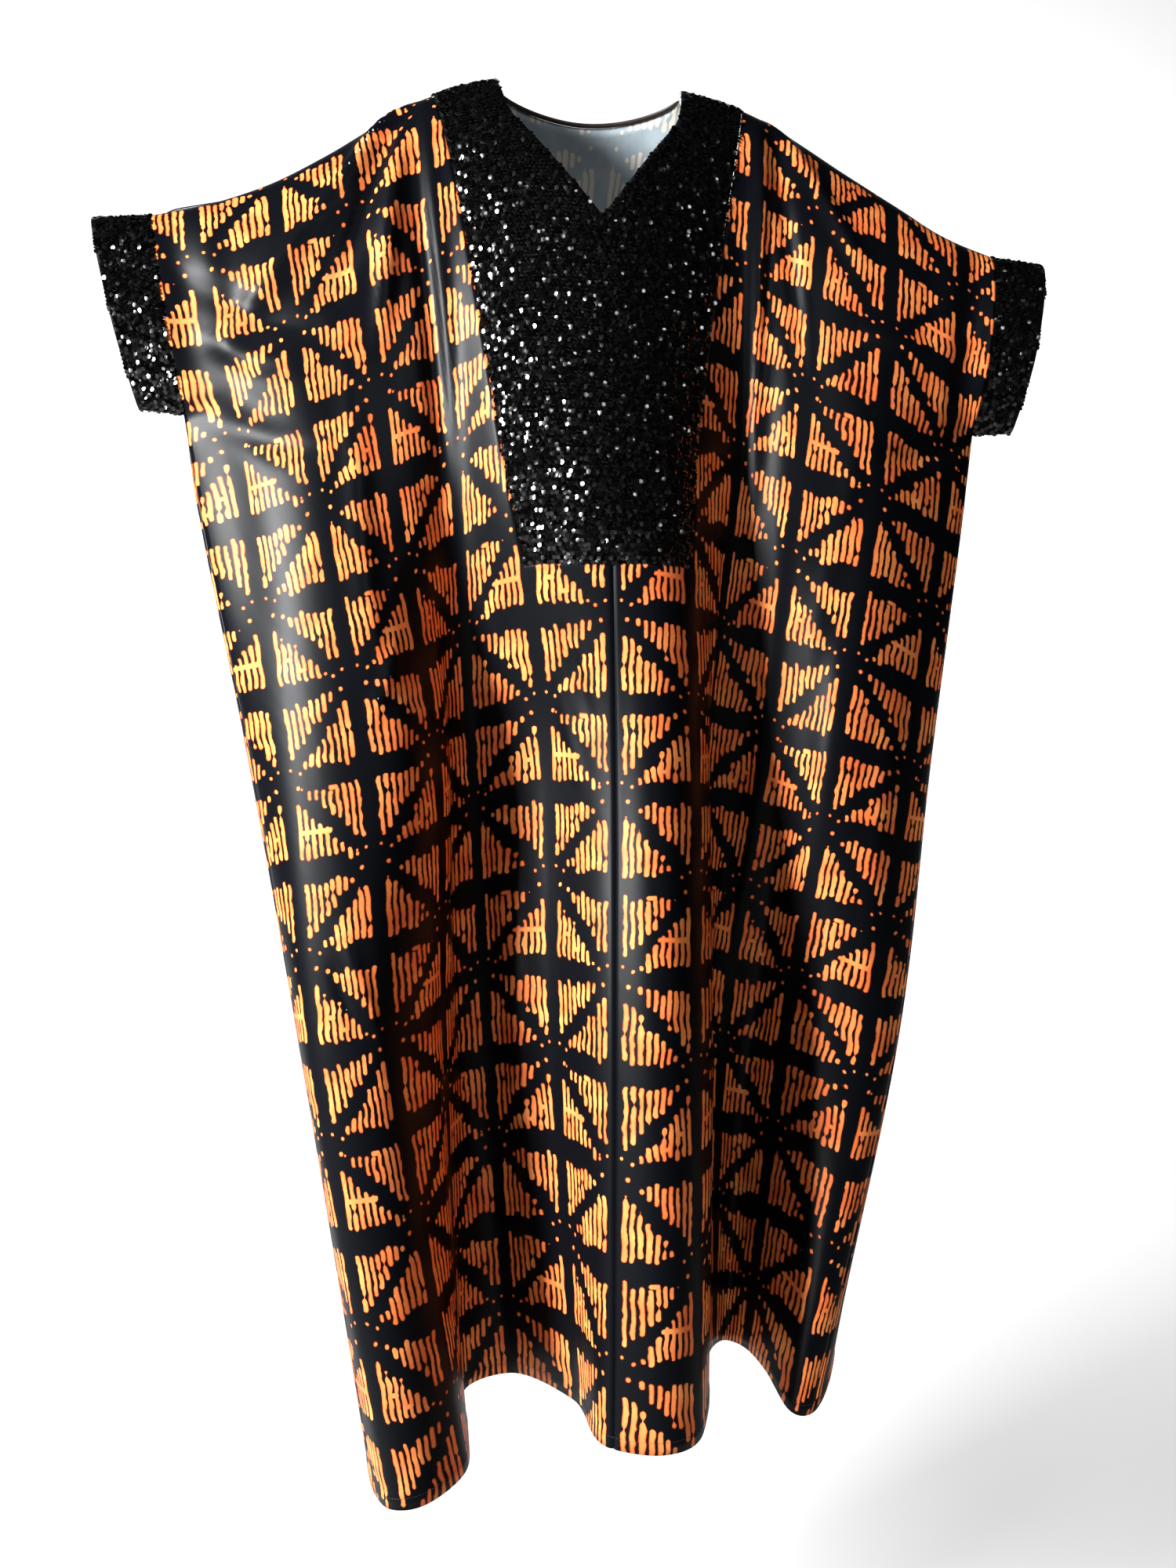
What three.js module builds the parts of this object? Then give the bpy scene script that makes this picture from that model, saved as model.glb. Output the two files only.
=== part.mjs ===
// Wide kaftan dress, filled out as if worn: two printed fronts, a printed back, a sequinned yoke with a
// V neck, two sequinned cuffs and a narrow binding at the back of the neck. Millimetres, +Z up, the
// front faces -Y. The origin lies between the two points where the neck meets the shoulder seams.
import * as THREE from "three";

// The cloth.
const CLOTH_WALL = 2;
const BINDING_WALL = 3;
const CUFF_WALL = 3;
const HALF_SEAM = 0.15;
const HALF_SHOULDER_SEAM = 0.25;

// The cut of the panels, measured on the flat cloth from the centre front and from the neck level.
const HALF_WIDTH = 495;
const CLOTH_LENGTH = 1376;
const SHOULDER_FALL = 49;
const NECK_HALF = 99;
const NECK_FRONT_DEPTH = 197;
const NECK_V_RISE = 105;
const NECK_V_BOW = 20;
const NECK_BACK_DEPTH = 36;
const BINDING_HEIGHT = 6;
const YOKE_TOP_HALF = 170;
const YOKE_BOTTOM_HALF = 92;
const YOKE_BOTTOM = 536;

// The sleeve end and its cuff.
const SLEEVE_OPENING = 210;
const SLEEVE_OUT = 30;
const SLEEVE_START = 430;
const SLEEVE_FADE_FROM = 120;
const SLEEVE_FADE_LENGTH = 180;
const CUFF_TOP_WIDTH = 57;
const CUFF_BOTTOM_WIDTH = 43;
const CUFF_TOP_DROP = 6;
const CUFF_BOTTOM_LIFT = 4;

// The roll of the cloth off the shoulder seam.
const ROLL_AT_NECK = 170;
const ROLL_AT_SLEEVE = 105;
const ROLL_RATIO = 0.4;
const ROLL_STEPS = 32;

// Heights at which the fold table is given; the hem has its own height in each row.
const CHEST_Z = -436;
const WAIST_Z = -700;
const KNEE_Z = -1000;

// Turns short rows into records by the names of their columns.
function table(names, rows) {
  return rows.map((row) => Object.fromEntries(names.map((name, i) => [name, row[i]])));
}

// Cloth distance, place across and fall along the shoulder seam.
const SHOULDER = table(["cloth", "x", "drop"], [
  [-495, -443, 159],
  [-430, -385, 145],
  [-370, -330, 124],
  [-291, -265, 87],
  [-227, -213, 52],
  [-172, -167, 24],
  [-99, -99, 2],
  [0, 0, 0],
  [99, 99, 2],
  [172, 167, 18],
  [227, 213, 41],
  [291, 265, 71],
  [370, 330, 107],
  [430, 385, 137],
  [495, 443, 157],
]);

// One row for each fold line from the left side seam round the front to the right side seam and back
// over the back panel. X is the place across and out the way to the front at the height named.
const FOLD_COLUMNS = [
  "side", "cloth", "topOut", "chestX", "chestOut", "waistX", "waistOut",
  "kneeX", "kneeOut", "hemX", "hemOut", "hemZ",
];
const FOLDS = table(FOLD_COLUMNS, [
  ["seam", -495, 0, -398, 0, -343, 20, -288, 55, -214, 100, -1402],
  ["front", -460, 38, -360, 20, -315, 50, -275, 92, -199, 138, -1394],
  ["front", -414, 42, -322, 42, -275, 70, -238, 108, -166, 143, -1390],
  ["front", -368, 46, -282, 55, -234, 75, -203, 100, -131, 108, -1385],
  ["front", -310, 50, -236, 54, -183, 60, -162, 48, -126, 48, -1380],
  ["front", -250, 54, -186, 42, -148, 12, -143, -4, -130, -14, -1368],
  ["front", -184, 56, -140, 25, -124, -40, -107, -34, -80, -30, -1360],
  ["front", -99, 64, -83, 65, -52, 0, -43, 22, -22, 55, -1347],
  ["front", 0, 72, 13, 88, 20, 60, 15, 95, 8, 136, -1354],
  ["front", 46, 71, 56, 84, 62, 75, 57, 115, 54, 155, -1352],
  ["front", 92, 64, 94, 68, 106, 50, 98, 92, 92, 132, -1352],
  ["front", 120, 60, 113, 52, 125, 18, 120, 58, 106, 100, -1346],
  ["front", 190, 54, 158, 18, 138, -38, 127, -2, 118, 38, -1340],
  ["front", 255, 52, 200, 40, 185, -28, 150, -55, 137, -25, -1344],
  ["front", 315, 48, 248, 52, 226, 12, 196, -60, 164, -68, -1356],
  ["front", 360, 44, 293, 50, 254, 38, 224, -38, 178, -35, -1350],
  ["front", 405, 40, 338, 35, 300, 32, 256, 2, 188, 10, -1352],
  ["front", 450, 36, 383, 15, 348, 10, 300, 12, 199, 62, -1368],
  ["seam", 495, 0, 414, -5, 389, -30, 343, -10, 223, 64, -1371],
  ["back", 430, -40, 355, -50, 365, -80, 346, -75, 262, 10, -1345],
  ["back", 360, -50, 295, -68, 308, -105, 298, -120, 268, -60, -1338],
  ["back", 300, -60, 243, -72, 255, -105, 245, -135, 233, -125, -1342],
  ["back", 240, -70, 195, -75, 205, -95, 195, -120, 185, -165, -1346],
  ["back", 190, -80, 155, -82, 165, -110, 155, -130, 145, -140, -1350],
  ["back", 110, -92, 90, -100, 105, -148, 98, -175, 100, -200, -1355],
  ["back", 60, -97, 50, -103, 60, -145, 50, -175, 50, -205, -1355],
  ["back", -25, -98, -20, -95, -8, -105, -15, -125, -10, -145, -1355],
  ["back", -90, -92, -72, -88, -62, -85, -66, -95, -55, -100, -1360],
  ["back", -130, -84, -105, -86, -98, -95, -100, -115, -90, -115, -1365],
  ["back", -210, -70, -165, -94, -160, -135, -165, -160, -142, -173, -1375],
  ["back", -280, -60, -225, -82, -225, -120, -225, -125, -200, -130, -1388],
  ["back", -380, -46, -300, -50, -305, -75, -270, -45, -223, -33, -1398],
]);

// Grid of the panels: how many strips across and along.
const WING_COLUMNS = 16;
const SKIRT_COLUMNS = 5;
const BACK_WING_COLUMNS = 14;
const NECK_STEPS = 6;
const TOP_ROWS = 14;
const LOWER_ROWS = 14;
const YOKE_COLUMNS = 16;
const YOKE_ROWS = 14;
const CUFF_ROWS = 4;
const CUFF_STEPS = 16;
const NORMAL_STEP = 1;
const SAME_POINT = 1e-4;

const PERIOD = 4 * HALF_WIDTH;

function clamp(value, low, high) {
  return Math.min(Math.max(value, low), high);
}

function smooth(value) {
  const t = clamp(value, 0, 1);
  return t * t * (3 - 2 * t);
}

function mix(a, b, t) {
  return a + (b - a) * t;
}

// The slope of a smooth curve at a middle point, from the chords on its two sides.
function tangent(before, here, after) {
  const left = here.at - before.at;
  const right = after.at - here.at;
  const leftSlope = (here.value - before.value) / left;
  const rightSlope = (after.value - here.value) / right;
  return (leftSlope * right + rightSlope * left) / (left + right);
}

// A smooth curve through points sorted by their place, read at one place.
function curve(points, at) {
  const last = points.length - 1;
  let i = 0;
  while (i < last - 1 && at >= points[i + 1].at) {
    i += 1;
  }
  const a = points[i];
  const b = points[i + 1];
  const length = b.at - a.at;
  const chord = (b.value - a.value) / length;
  const slopeA = i > 0 ? tangent(points[i - 1], a, b) : chord;
  const slopeB = i + 1 < last ? tangent(a, b, points[i + 2]) : chord;
  const t = (at - a.at) / length;
  const t2 = t * t;
  const t3 = t2 * t;
  const start = (2 * t3 - 3 * t2 + 1) * a.value + (t3 - 2 * t2 + t) * length * slopeA;
  const end = (3 * t2 - 2 * t3) * b.value + (t3 - t2) * length * slopeB;
  return start + end;
}

const SEAM_ACROSS = SHOULDER.map((row) => ({ at: row.cloth, value: row.x }));
const SEAM_FALL = SHOULDER.map((row) => ({ at: row.cloth, value: row.drop }));

function shoulderX(cloth) {
  return curve(SEAM_ACROSS, cloth);
}

function shoulderDrop(cloth) {
  return curve(SEAM_FALL, cloth);
}

// The panels are cut with sloping shoulders: the cloth starts lower towards the sleeve.
function shoulderCut(cloth) {
  const t = (Math.abs(cloth) - NECK_HALF) / (HALF_WIDTH - NECK_HALF);
  return SHOULDER_FALL * Math.max(t, 0);
}

// The fold lines as points on the ring that runs round the garment; the back counts on from the front.
function ringRows() {
  return FOLDS.map((fold) => {
    const seamTop = -shoulderDrop(fold.cloth);
    const heights = [fold.hemZ, KNEE_Z, WAIST_Z, CHEST_Z, seamTop];
    const across = [fold.hemX, fold.kneeX, fold.waistX, fold.chestX, shoulderX(fold.cloth)];
    const out = [fold.hemOut, fold.kneeOut, fold.waistOut, fold.chestOut, fold.topOut];
    return {
      at: fold.side === "back" ? 2 * HALF_WIDTH - fold.cloth : fold.cloth,
      across: heights.map((height, i) => ({ at: height, value: across[i] })),
      out: heights.map((height, i) => ({ at: height, value: out[i] })),
      hem: fold.hemZ,
    };
  });
}

const RING = ringRows();

// Four neighbouring fold lines round a place on the ring, with their places made to run on.
function neighbours(place) {
  const count = RING.length;
  const wrapped = ((((place + HALF_WIDTH) % PERIOD) + PERIOD) % PERIOD) - HALF_WIDTH;
  let i = 0;
  while (i < count - 1 && wrapped >= RING[i + 1].at) {
    i += 1;
  }
  const rows = [i - 1, i, i + 1, i + 2].map((k) => {
    const turn = Math.floor(k / count);
    const row = RING[k - turn * count];
    return { at: row.at + turn * PERIOD, row };
  });
  return { wrapped, rows };
}

function readRing(place, read) {
  const { wrapped, rows } = neighbours(place);
  const [before, a, b, after] = rows.map(({ at, row }) => ({ at, value: read(row) }));
  const length = b.at - a.at;
  const t = (wrapped - a.at) / length;
  const t2 = t * t;
  const t3 = t2 * t;
  const start = (2 * t3 - 3 * t2 + 1) * a.value + (t3 - 2 * t2 + t) * length * tangent(before, a, b);
  const end = (3 * t2 - 2 * t3) * b.value + (t3 - t2) * length * tangent(a, b, after);
  return start + end;
}

// Arc length along the quarter ellipse of the roll, for a roll one unit high.
function rollTable() {
  const table = [{ angle: 0, arc: 0 }];
  for (let i = 1; i <= ROLL_STEPS; i += 1) {
    const angle = (Math.PI / 2) * (i / ROLL_STEPS);
    const last = table[i - 1];
    const outward = ROLL_RATIO * (Math.sin(angle) - Math.sin(last.angle));
    const downward = Math.cos(last.angle) - Math.cos(angle);
    table.push({ angle, arc: last.arc + Math.hypot(outward, downward) });
  }
  return table;
}

const ROLL = rollTable();

// How far a point of the cloth hangs under the shoulder seam, and how far the roll has opened there.
function hang(cloth, down) {
  const t = clamp((Math.abs(cloth) - NECK_HALF) / (HALF_WIDTH - NECK_HALF), 0, 1);
  const height = mix(ROLL_AT_NECK, ROLL_AT_SLEEVE, t);
  const arc = Math.max(down - shoulderCut(cloth), 0) / height;
  const whole = ROLL[ROLL_STEPS].arc;
  if (arc >= whole) {
    return { depth: height * (1 + arc - whole), opened: 1 };
  }
  let i = 1;
  while (ROLL[i].arc < arc) {
    i += 1;
  }
  const part = (arc - ROLL[i - 1].arc) / (ROLL[i].arc - ROLL[i - 1].arc);
  const angle = mix(ROLL[i - 1].angle, ROLL[i].angle, part);
  return { depth: height * (1 - Math.cos(angle)), opened: Math.sin(angle) };
}

// The half width of the open sleeve end, and how much of it reaches a point of the panel.
function sleeve(cloth, depth) {
  const level = 1 - depth / (SLEEVE_OPENING / 2);
  const oval = SLEEVE_OUT * Math.sqrt(Math.max(1 - level * level, 0));
  const near = smooth((Math.abs(cloth) - SLEEVE_START) / (HALF_WIDTH - SLEEVE_START));
  const fade = 1 - smooth((depth - SLEEVE_FADE_FROM) / SLEEVE_FADE_LENGTH);
  return { oval, share: near * fade };
}

// The sleeve end runs straight out to its cuff, where the body of the panel turns round the side.
function sleeveX(cloth, z) {
  const seam = RING.find((row) => row.at === Math.sign(cloth) * HALF_WIDTH);
  return (curve(seam.across, z) * shoulderX(cloth)) / shoulderX(seam.at);
}

// A point of the outer face: side is 1 for the front and -1 for the back.
function surface(side, cloth, down) {
  const place = side > 0 ? cloth : 2 * HALF_WIDTH - cloth;
  const { depth, opened } = hang(cloth, down);
  const whole = hang(cloth, CLOTH_LENGTH).depth;
  const fall = shoulderDrop(cloth);
  const part = (down - shoulderCut(cloth)) / (CLOTH_LENGTH - shoulderCut(cloth));
  const hem = readRing(place, (row) => row.hem);
  const z = -(fall + depth) + (hem + fall + whole) * part;
  const { oval, share } = sleeve(cloth, depth);
  const ringX = readRing(place, (row) => curve(row.across, z));
  const ringOut = readRing(place, (row) => curve(row.out, z)) * opened;
  const x = share > 0 ? mix(ringX, sleeveX(cloth, z), share) : ringX;
  return new THREE.Vector3(x, -mix(ringOut, side * oval, share), z);
}

// The outward direction of one face, from two short steps on it.
function faceNormal(side, cloth, down) {
  const top = shoulderCut(cloth) + HALF_SHOULDER_SEAM;
  const across = surface(side, cloth + NORMAL_STEP, down).sub(surface(side, cloth - NORMAL_STEP, down));
  const above = surface(side, cloth, Math.max(down - NORMAL_STEP, top));
  const along = surface(side, cloth, Math.max(down, top) + NORMAL_STEP).sub(above);
  return across.cross(along).multiplyScalar(-side).normalize();
}

// The outward direction of the cloth: where the front meets the back, both take the same one.
function outward(side, cloth, down) {
  const normal = faceNormal(side, cloth, down);
  if (surface(1, cloth, down).distanceTo(surface(-1, cloth, down)) < CLOTH_WALL) {
    return normal.add(faceNormal(-side, cloth, down)).normalize();
  }
  return normal;
}

// A point of the cloth with its outward direction.
function spot(side, cloth, down) {
  return { point: surface(side, cloth, down), normal: outward(side, cloth, down) };
}

// One closed wall from a sheet of outer points: the inner face lies one thickness in, and the open
// edges are joined. Quads run so that their outer face is seen anticlockwise.
function wall(spots, quads, thickness) {
  const merged = [];
  const index = spots.map(({ point, normal }) => {
    const known = merged.findIndex((other) => other.point.distanceTo(point) < SAME_POINT);
    if (known >= 0) {
      return known;
    }
    merged.push({ point, normal });
    return merged.length - 1;
  });
  const count = merged.length;
  const positions = [];
  merged.forEach(({ point }) => positions.push(point.x, point.y, point.z));
  merged.forEach(({ point, normal }) => {
    const inner = point.clone().addScaledVector(normal, -thickness);
    positions.push(inner.x, inner.y, inner.z);
  });
  const triangles = [];
  const edges = new Map();
  const addTriangle = (corners) => {
    if (new Set(corners).size < 3) {
      return;
    }
    triangles.push(...corners);
    triangles.push(corners[0] + count, corners[2] + count, corners[1] + count);
    corners.forEach((from, i) => {
      const to = corners[(i + 1) % 3];
      if (!edges.delete(`${to} ${from}`)) {
        edges.set(`${from} ${to}`, [from, to]);
      }
    });
  };
  quads.forEach((quad) => {
    const [a, b, c, d] = quad.map((i) => index[i]);
    addTriangle([a, b, c]);
    addTriangle([a, c, d]);
  });
  edges.forEach(([from, to]) => {
    triangles.push(to, from, from + count);
    triangles.push(to, from + count, to + count);
  });
  const geometry = new THREE.BufferGeometry();
  geometry.setAttribute("position", new THREE.Float32BufferAttribute(positions, 3));
  geometry.setIndex(triangles);
  geometry.computeVertexNormals();
  return geometry;
}

// A grid of spots by row and column, and the quads between them. Flipped turns the faces round.
function grid(rows, columns, place, flipped) {
  const spots = [];
  const quads = [];
  for (let row = 0; row <= rows; row += 1) {
    for (let column = 0; column <= columns; column += 1) {
      spots.push(place(row / rows, column / columns));
    }
  }
  for (let row = 0; row < rows; row += 1) {
    for (let column = 0; column < columns; column += 1) {
      const a = row * (columns + 1) + column;
      const below = a + columns + 1;
      const quad = [a, below, below + 1, a + 1];
      quads.push(flipped ? quad.reverse() : quad);
    }
  }
  return { spots, quads };
}

// Two or more grids as one sheet.
function join(...parts) {
  const spots = [];
  const quads = [];
  parts.forEach((part) => {
    const start = spots.length;
    spots.push(...part.spots);
    quads.push(...part.quads.map((quad) => quad.map((i) => i + start)));
  });
  return { spots, quads };
}

function piece(name, geometry, colour, roughness) {
  const material = new THREE.MeshStandardMaterial({ color: colour, roughness });
  const mesh = new THREE.Mesh(geometry, material);
  mesh.name = name;
  return mesh;
}

function yokeHalf(down) {
  return mix(YOKE_TOP_HALF, YOKE_BOTTOM_HALF, clamp(down / YOKE_BOTTOM, 0, 1));
}

// One printed front, from the side seam to the yoke and, under the yoke, to the centre-front seam.
function front(sign) {
  const shoulderAt = (cloth) => shoulderCut(cloth) + HALF_SHOULDER_SEAM;
  const edgeAt = (down) => sign * (yokeHalf(down) + HALF_SEAM);
  const clothAt = (down, u) => mix(sign * (HALF_WIDTH - HALF_SEAM), edgeAt(down), u);
  const wing = grid(TOP_ROWS, WING_COLUMNS, (v, u) => {
    const level = YOKE_BOTTOM * v;
    const cloth = clothAt(level, u);
    return spot(1, cloth, mix(shoulderAt(cloth), YOKE_BOTTOM + HALF_SEAM, v));
  }, sign > 0);
  const side = grid(LOWER_ROWS, WING_COLUMNS, (v, u) => {
    return spot(1, clothAt(YOKE_BOTTOM, u), mix(YOKE_BOTTOM + HALF_SEAM, CLOTH_LENGTH, v));
  }, sign > 0);
  const skirt = grid(LOWER_ROWS, SKIRT_COLUMNS, (v, u) => {
    const cloth = mix(edgeAt(YOKE_BOTTOM), sign * HALF_SEAM, u);
    return spot(1, cloth, mix(YOKE_BOTTOM + HALF_SEAM, CLOTH_LENGTH, v));
  }, sign > 0);
  const sheet = join(wing, side, skirt);
  return wall(sheet.spots, sheet.quads, CLOTH_WALL);
}

// The lower edge of the back neck, by cloth distance from the centre: a half oval.
function backNeck(cloth) {
  const t = clamp(Math.abs(cloth) / NECK_HALF, 0, 1);
  return NECK_BACK_DEPTH * Math.sqrt(1 - t * t);
}

// Cloth distance of a column across the back neck, counted from the centre; the last is the neck point.
function neckColumn(step) {
  return NECK_HALF * Math.sin((Math.PI / 2) * (step / NECK_STEPS));
}

// The back in one panel, with its rows at the same heights as those of the fronts it is sewn to.
function back() {
  const half = NECK_STEPS + BACK_WING_COLUMNS;
  const clothAt = (u) => {
    const step = Math.round(mix(-half, half, u));
    const past = Math.max(Math.abs(step) - NECK_STEPS, 0) / BACK_WING_COLUMNS;
    const edge = HALF_WIDTH - HALF_SEAM;
    return past > 0 ? Math.sign(step) * mix(NECK_HALF, edge, past) : neckColumn(step);
  };
  const upper = grid(TOP_ROWS, 2 * half, (v, u) => {
    const cloth = clothAt(u);
    const top = Math.max(backNeck(cloth), shoulderCut(cloth)) + HALF_SHOULDER_SEAM;
    return spot(-1, cloth, mix(top, YOKE_BOTTOM + HALF_SEAM, v));
  }, true);
  const lower = grid(LOWER_ROWS, 2 * half, (v, u) => {
    return spot(-1, clothAt(u), mix(YOKE_BOTTOM + HALF_SEAM, CLOTH_LENGTH, v));
  }, true);
  const sheet = join(upper, lower);
  return wall(sheet.spots, sheet.quads, CLOTH_WALL);
}

// The lower edge of the front neck: a V whose sides bow out a little and then run straight up to the
// neck points. Share is 0 at the centre and 1 at a neck point.
function frontNeck(share) {
  return NECK_FRONT_DEPTH - NECK_V_RISE * share - NECK_V_BOW * share * share;
}

// The yoke: a tapered panel with a V neck. Its columns turn at the two neck points and stand closer
// beside them.
function yoke() {
  const neckShare = NECK_HALF / YOKE_TOP_HALF;
  const sheet = grid(YOKE_ROWS, YOKE_COLUMNS, (v, u) => {
    const step = 2 * Math.abs(2 * u - 1);
    const near = Math.sin((Math.PI / 2) * Math.min(step, 1));
    const share = step <= 1 ? near * neckShare : mix(neckShare, 1, step - 1);
    const shoulder = shoulderCut(share * YOKE_TOP_HALF) + HALF_SHOULDER_SEAM;
    const top = step < 1 ? frontNeck(near) : shoulder;
    const down = mix(top, YOKE_BOTTOM - HALF_SEAM, v);
    return spot(1, Math.sign(2 * u - 1) * share * (yokeHalf(down) - HALF_SEAM), down);
  }, false);
  return wall(sheet.spots, sheet.quads, CLOTH_WALL);
}

// The binding stands on the back neck edge, column for column, and stops short of the neck points.
function neckBinding() {
  const last = NECK_STEPS - 1;
  const sheet = grid(1, 2 * last, (v, u) => {
    const cloth = neckColumn(Math.round(mix(-last, last, u)));
    const low = backNeck(cloth) - HALF_SEAM;
    return spot(-1, cloth, low - BINDING_HEIGHT * (1 - v));
  }, true);
  return wall(sheet.spots, sheet.quads, BINDING_WALL);
}

// Points round the sleeve opening, down the front edge and up the back edge.
function openingRing(sign) {
  const cloth = sign * HALF_WIDTH;
  const start = shoulderCut(cloth);
  const whole = ROLL[ROLL_STEPS].arc;
  const length = ROLL_AT_SLEEVE * (whole + SLEEVE_OPENING / ROLL_AT_SLEEVE - 1);
  const ring = [];
  for (let i = 0; i <= CUFF_STEPS; i += 1) {
    ring.push(surface(1, cloth, start + (length * i) / CUFF_STEPS));
  }
  for (let i = CUFF_STEPS - 1; i > 0; i -= 1) {
    ring.push(surface(-1, cloth, start + (length * i) / CUFF_STEPS));
  }
  return ring;
}

// One cuff: a band all round the sleeve opening, set straight out from it.
function cuff(sign) {
  const ring = openingRing(sign);
  const count = ring.length;
  const axis = new THREE.Vector3(sign, 0, 0);
  const top = ring[0].z;
  const sheet = grid(CUFF_ROWS, count, (v, u) => {
    const i = Math.round(u * count) % count;
    const low = (top - ring[i].z) / SLEEVE_OPENING;
    const width = mix(CUFF_TOP_WIDTH, CUFF_BOTTOM_WIDTH, low);
    const along = ring[(i + 1) % count].clone().sub(ring[(i + count - 1) % count]);
    const normal = along.cross(axis).multiplyScalar(-sign).setX(0).normalize();
    const point = ring[i].clone().addScaledVector(axis, mix(HALF_SEAM, width, v));
    point.z += mix(-CUFF_TOP_DROP, CUFF_BOTTOM_LIFT, low) * v;
    return { point, normal };
  }, sign < 0);
  return wall(sheet.spots, sheet.quads, CUFF_WALL);
}

const PRINT_COLOUR = 0x15171c;
const PRINT_ROUGHNESS = 0.4;
const SEQUIN_COLOUR = 0x060607;
const SEQUIN_ROUGHNESS = 0.3;
const BINDING_COLOUR = 0x1d1614;
const BINDING_ROUGHNESS = 0.6;

const kaftan = new THREE.Group();
kaftan.add(piece("front_left", front(-1), PRINT_COLOUR, PRINT_ROUGHNESS));
kaftan.add(piece("front_right", front(1), PRINT_COLOUR, PRINT_ROUGHNESS));
kaftan.add(piece("back", back(), PRINT_COLOUR, PRINT_ROUGHNESS));
kaftan.add(piece("yoke", yoke(), SEQUIN_COLOUR, SEQUIN_ROUGHNESS));
kaftan.add(piece("cuff_left", cuff(-1), SEQUIN_COLOUR, SEQUIN_ROUGHNESS));
kaftan.add(piece("cuff_right", cuff(1), SEQUIN_COLOUR, SEQUIN_ROUGHNESS));
kaftan.add(piece("neck_binding", neckBinding(), BINDING_COLOUR, BINDING_ROUGHNESS));

export default kaftan;
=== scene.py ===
"""Wide kaftan dress, filled out as if worn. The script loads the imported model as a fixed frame, drapes
fine cloth shells over its form, prints and sews them, and sets up the stage and the camera."""
import math

import bpy
import numpy as np
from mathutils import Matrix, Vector


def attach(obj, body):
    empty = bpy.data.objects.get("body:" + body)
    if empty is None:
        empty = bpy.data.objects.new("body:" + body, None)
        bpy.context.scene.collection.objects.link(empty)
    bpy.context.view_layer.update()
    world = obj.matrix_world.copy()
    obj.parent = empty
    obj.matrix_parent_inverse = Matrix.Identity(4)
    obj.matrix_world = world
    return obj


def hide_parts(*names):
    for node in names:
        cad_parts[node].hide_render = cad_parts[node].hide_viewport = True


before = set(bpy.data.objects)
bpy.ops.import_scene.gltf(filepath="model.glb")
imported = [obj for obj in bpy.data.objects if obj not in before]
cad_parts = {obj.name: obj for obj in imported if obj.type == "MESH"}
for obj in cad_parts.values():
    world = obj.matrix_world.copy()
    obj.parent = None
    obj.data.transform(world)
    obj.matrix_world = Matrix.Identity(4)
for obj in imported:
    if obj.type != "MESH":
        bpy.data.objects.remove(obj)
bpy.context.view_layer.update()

bl_info = {
    "name": "Kaftan dress",
    "version": (1, 0, 0),
    "blender": (4, 5, 0),
    "location": "3D View > Sidebar > Kaftan",
    "description": "Builds a printed satin kaftan with a sequinned yoke and cuffs",
    "category": "Object",
}

MM = 0.001

# The cut of the panels, in millimetres on the flat cloth, as the solids have it.
HALF_WIDTH = 495
CLOTH_LENGTH = 1376
SHOULDER_FALL = 49
NECK_HALF = 99
NECK_FRONT_DEPTH = 197
NECK_V_RISE = 105
NECK_V_BOW = 20
NECK_TURN = 40
NECK_BACK_DEPTH = 36
YOKE_TOP_HALF = 170
YOKE_BOTTOM_HALF = 92
YOKE_BOTTOM = 536

# The sleeve end, its cuff and the roll of the cloth off the shoulder seam.
SLEEVE_OPENING = 210
SLEEVE_OUT = 30
SLEEVE_START = 430
SLEEVE_FADE_FROM = 120
SLEEVE_FADE_LENGTH = 180
CUFF_TOP_WIDTH = 57
CUFF_BOTTOM_WIDTH = 43
CUFF_TOP_DROP = 6
CUFF_BOTTOM_LIFT = 4
ROLL_AT_NECK = 170
ROLL_AT_SLEEVE = 105
ROLL_RATIO = 0.4
ROLL_STEPS = 64

CHEST_Z = -436
WAIST_Z = -700
KNEE_Z = -1000
PERIOD = 4 * HALF_WIDTH


def table(names, rows):
    """Short rows as one array for each column name."""
    columns = zip(*rows)
    return {name: np.array(column) for name, column in zip(names.split(), columns)}


# Cloth distance, place across and fall along the shoulder seam.
SHOULDER = table("cloth x drop", [
    (-495, -443, 159),
    (-430, -385, 145),
    (-370, -330, 124),
    (-291, -265, 87),
    (-227, -213, 52),
    (-172, -167, 24),
    (-99, -99, 2),
    (0, 0, 0),
    (99, 99, 2),
    (172, 167, 18),
    (227, 213, 41),
    (291, 265, 71),
    (370, 330, 107),
    (430, 385, 137),
    (495, 443, 157),
])

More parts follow.
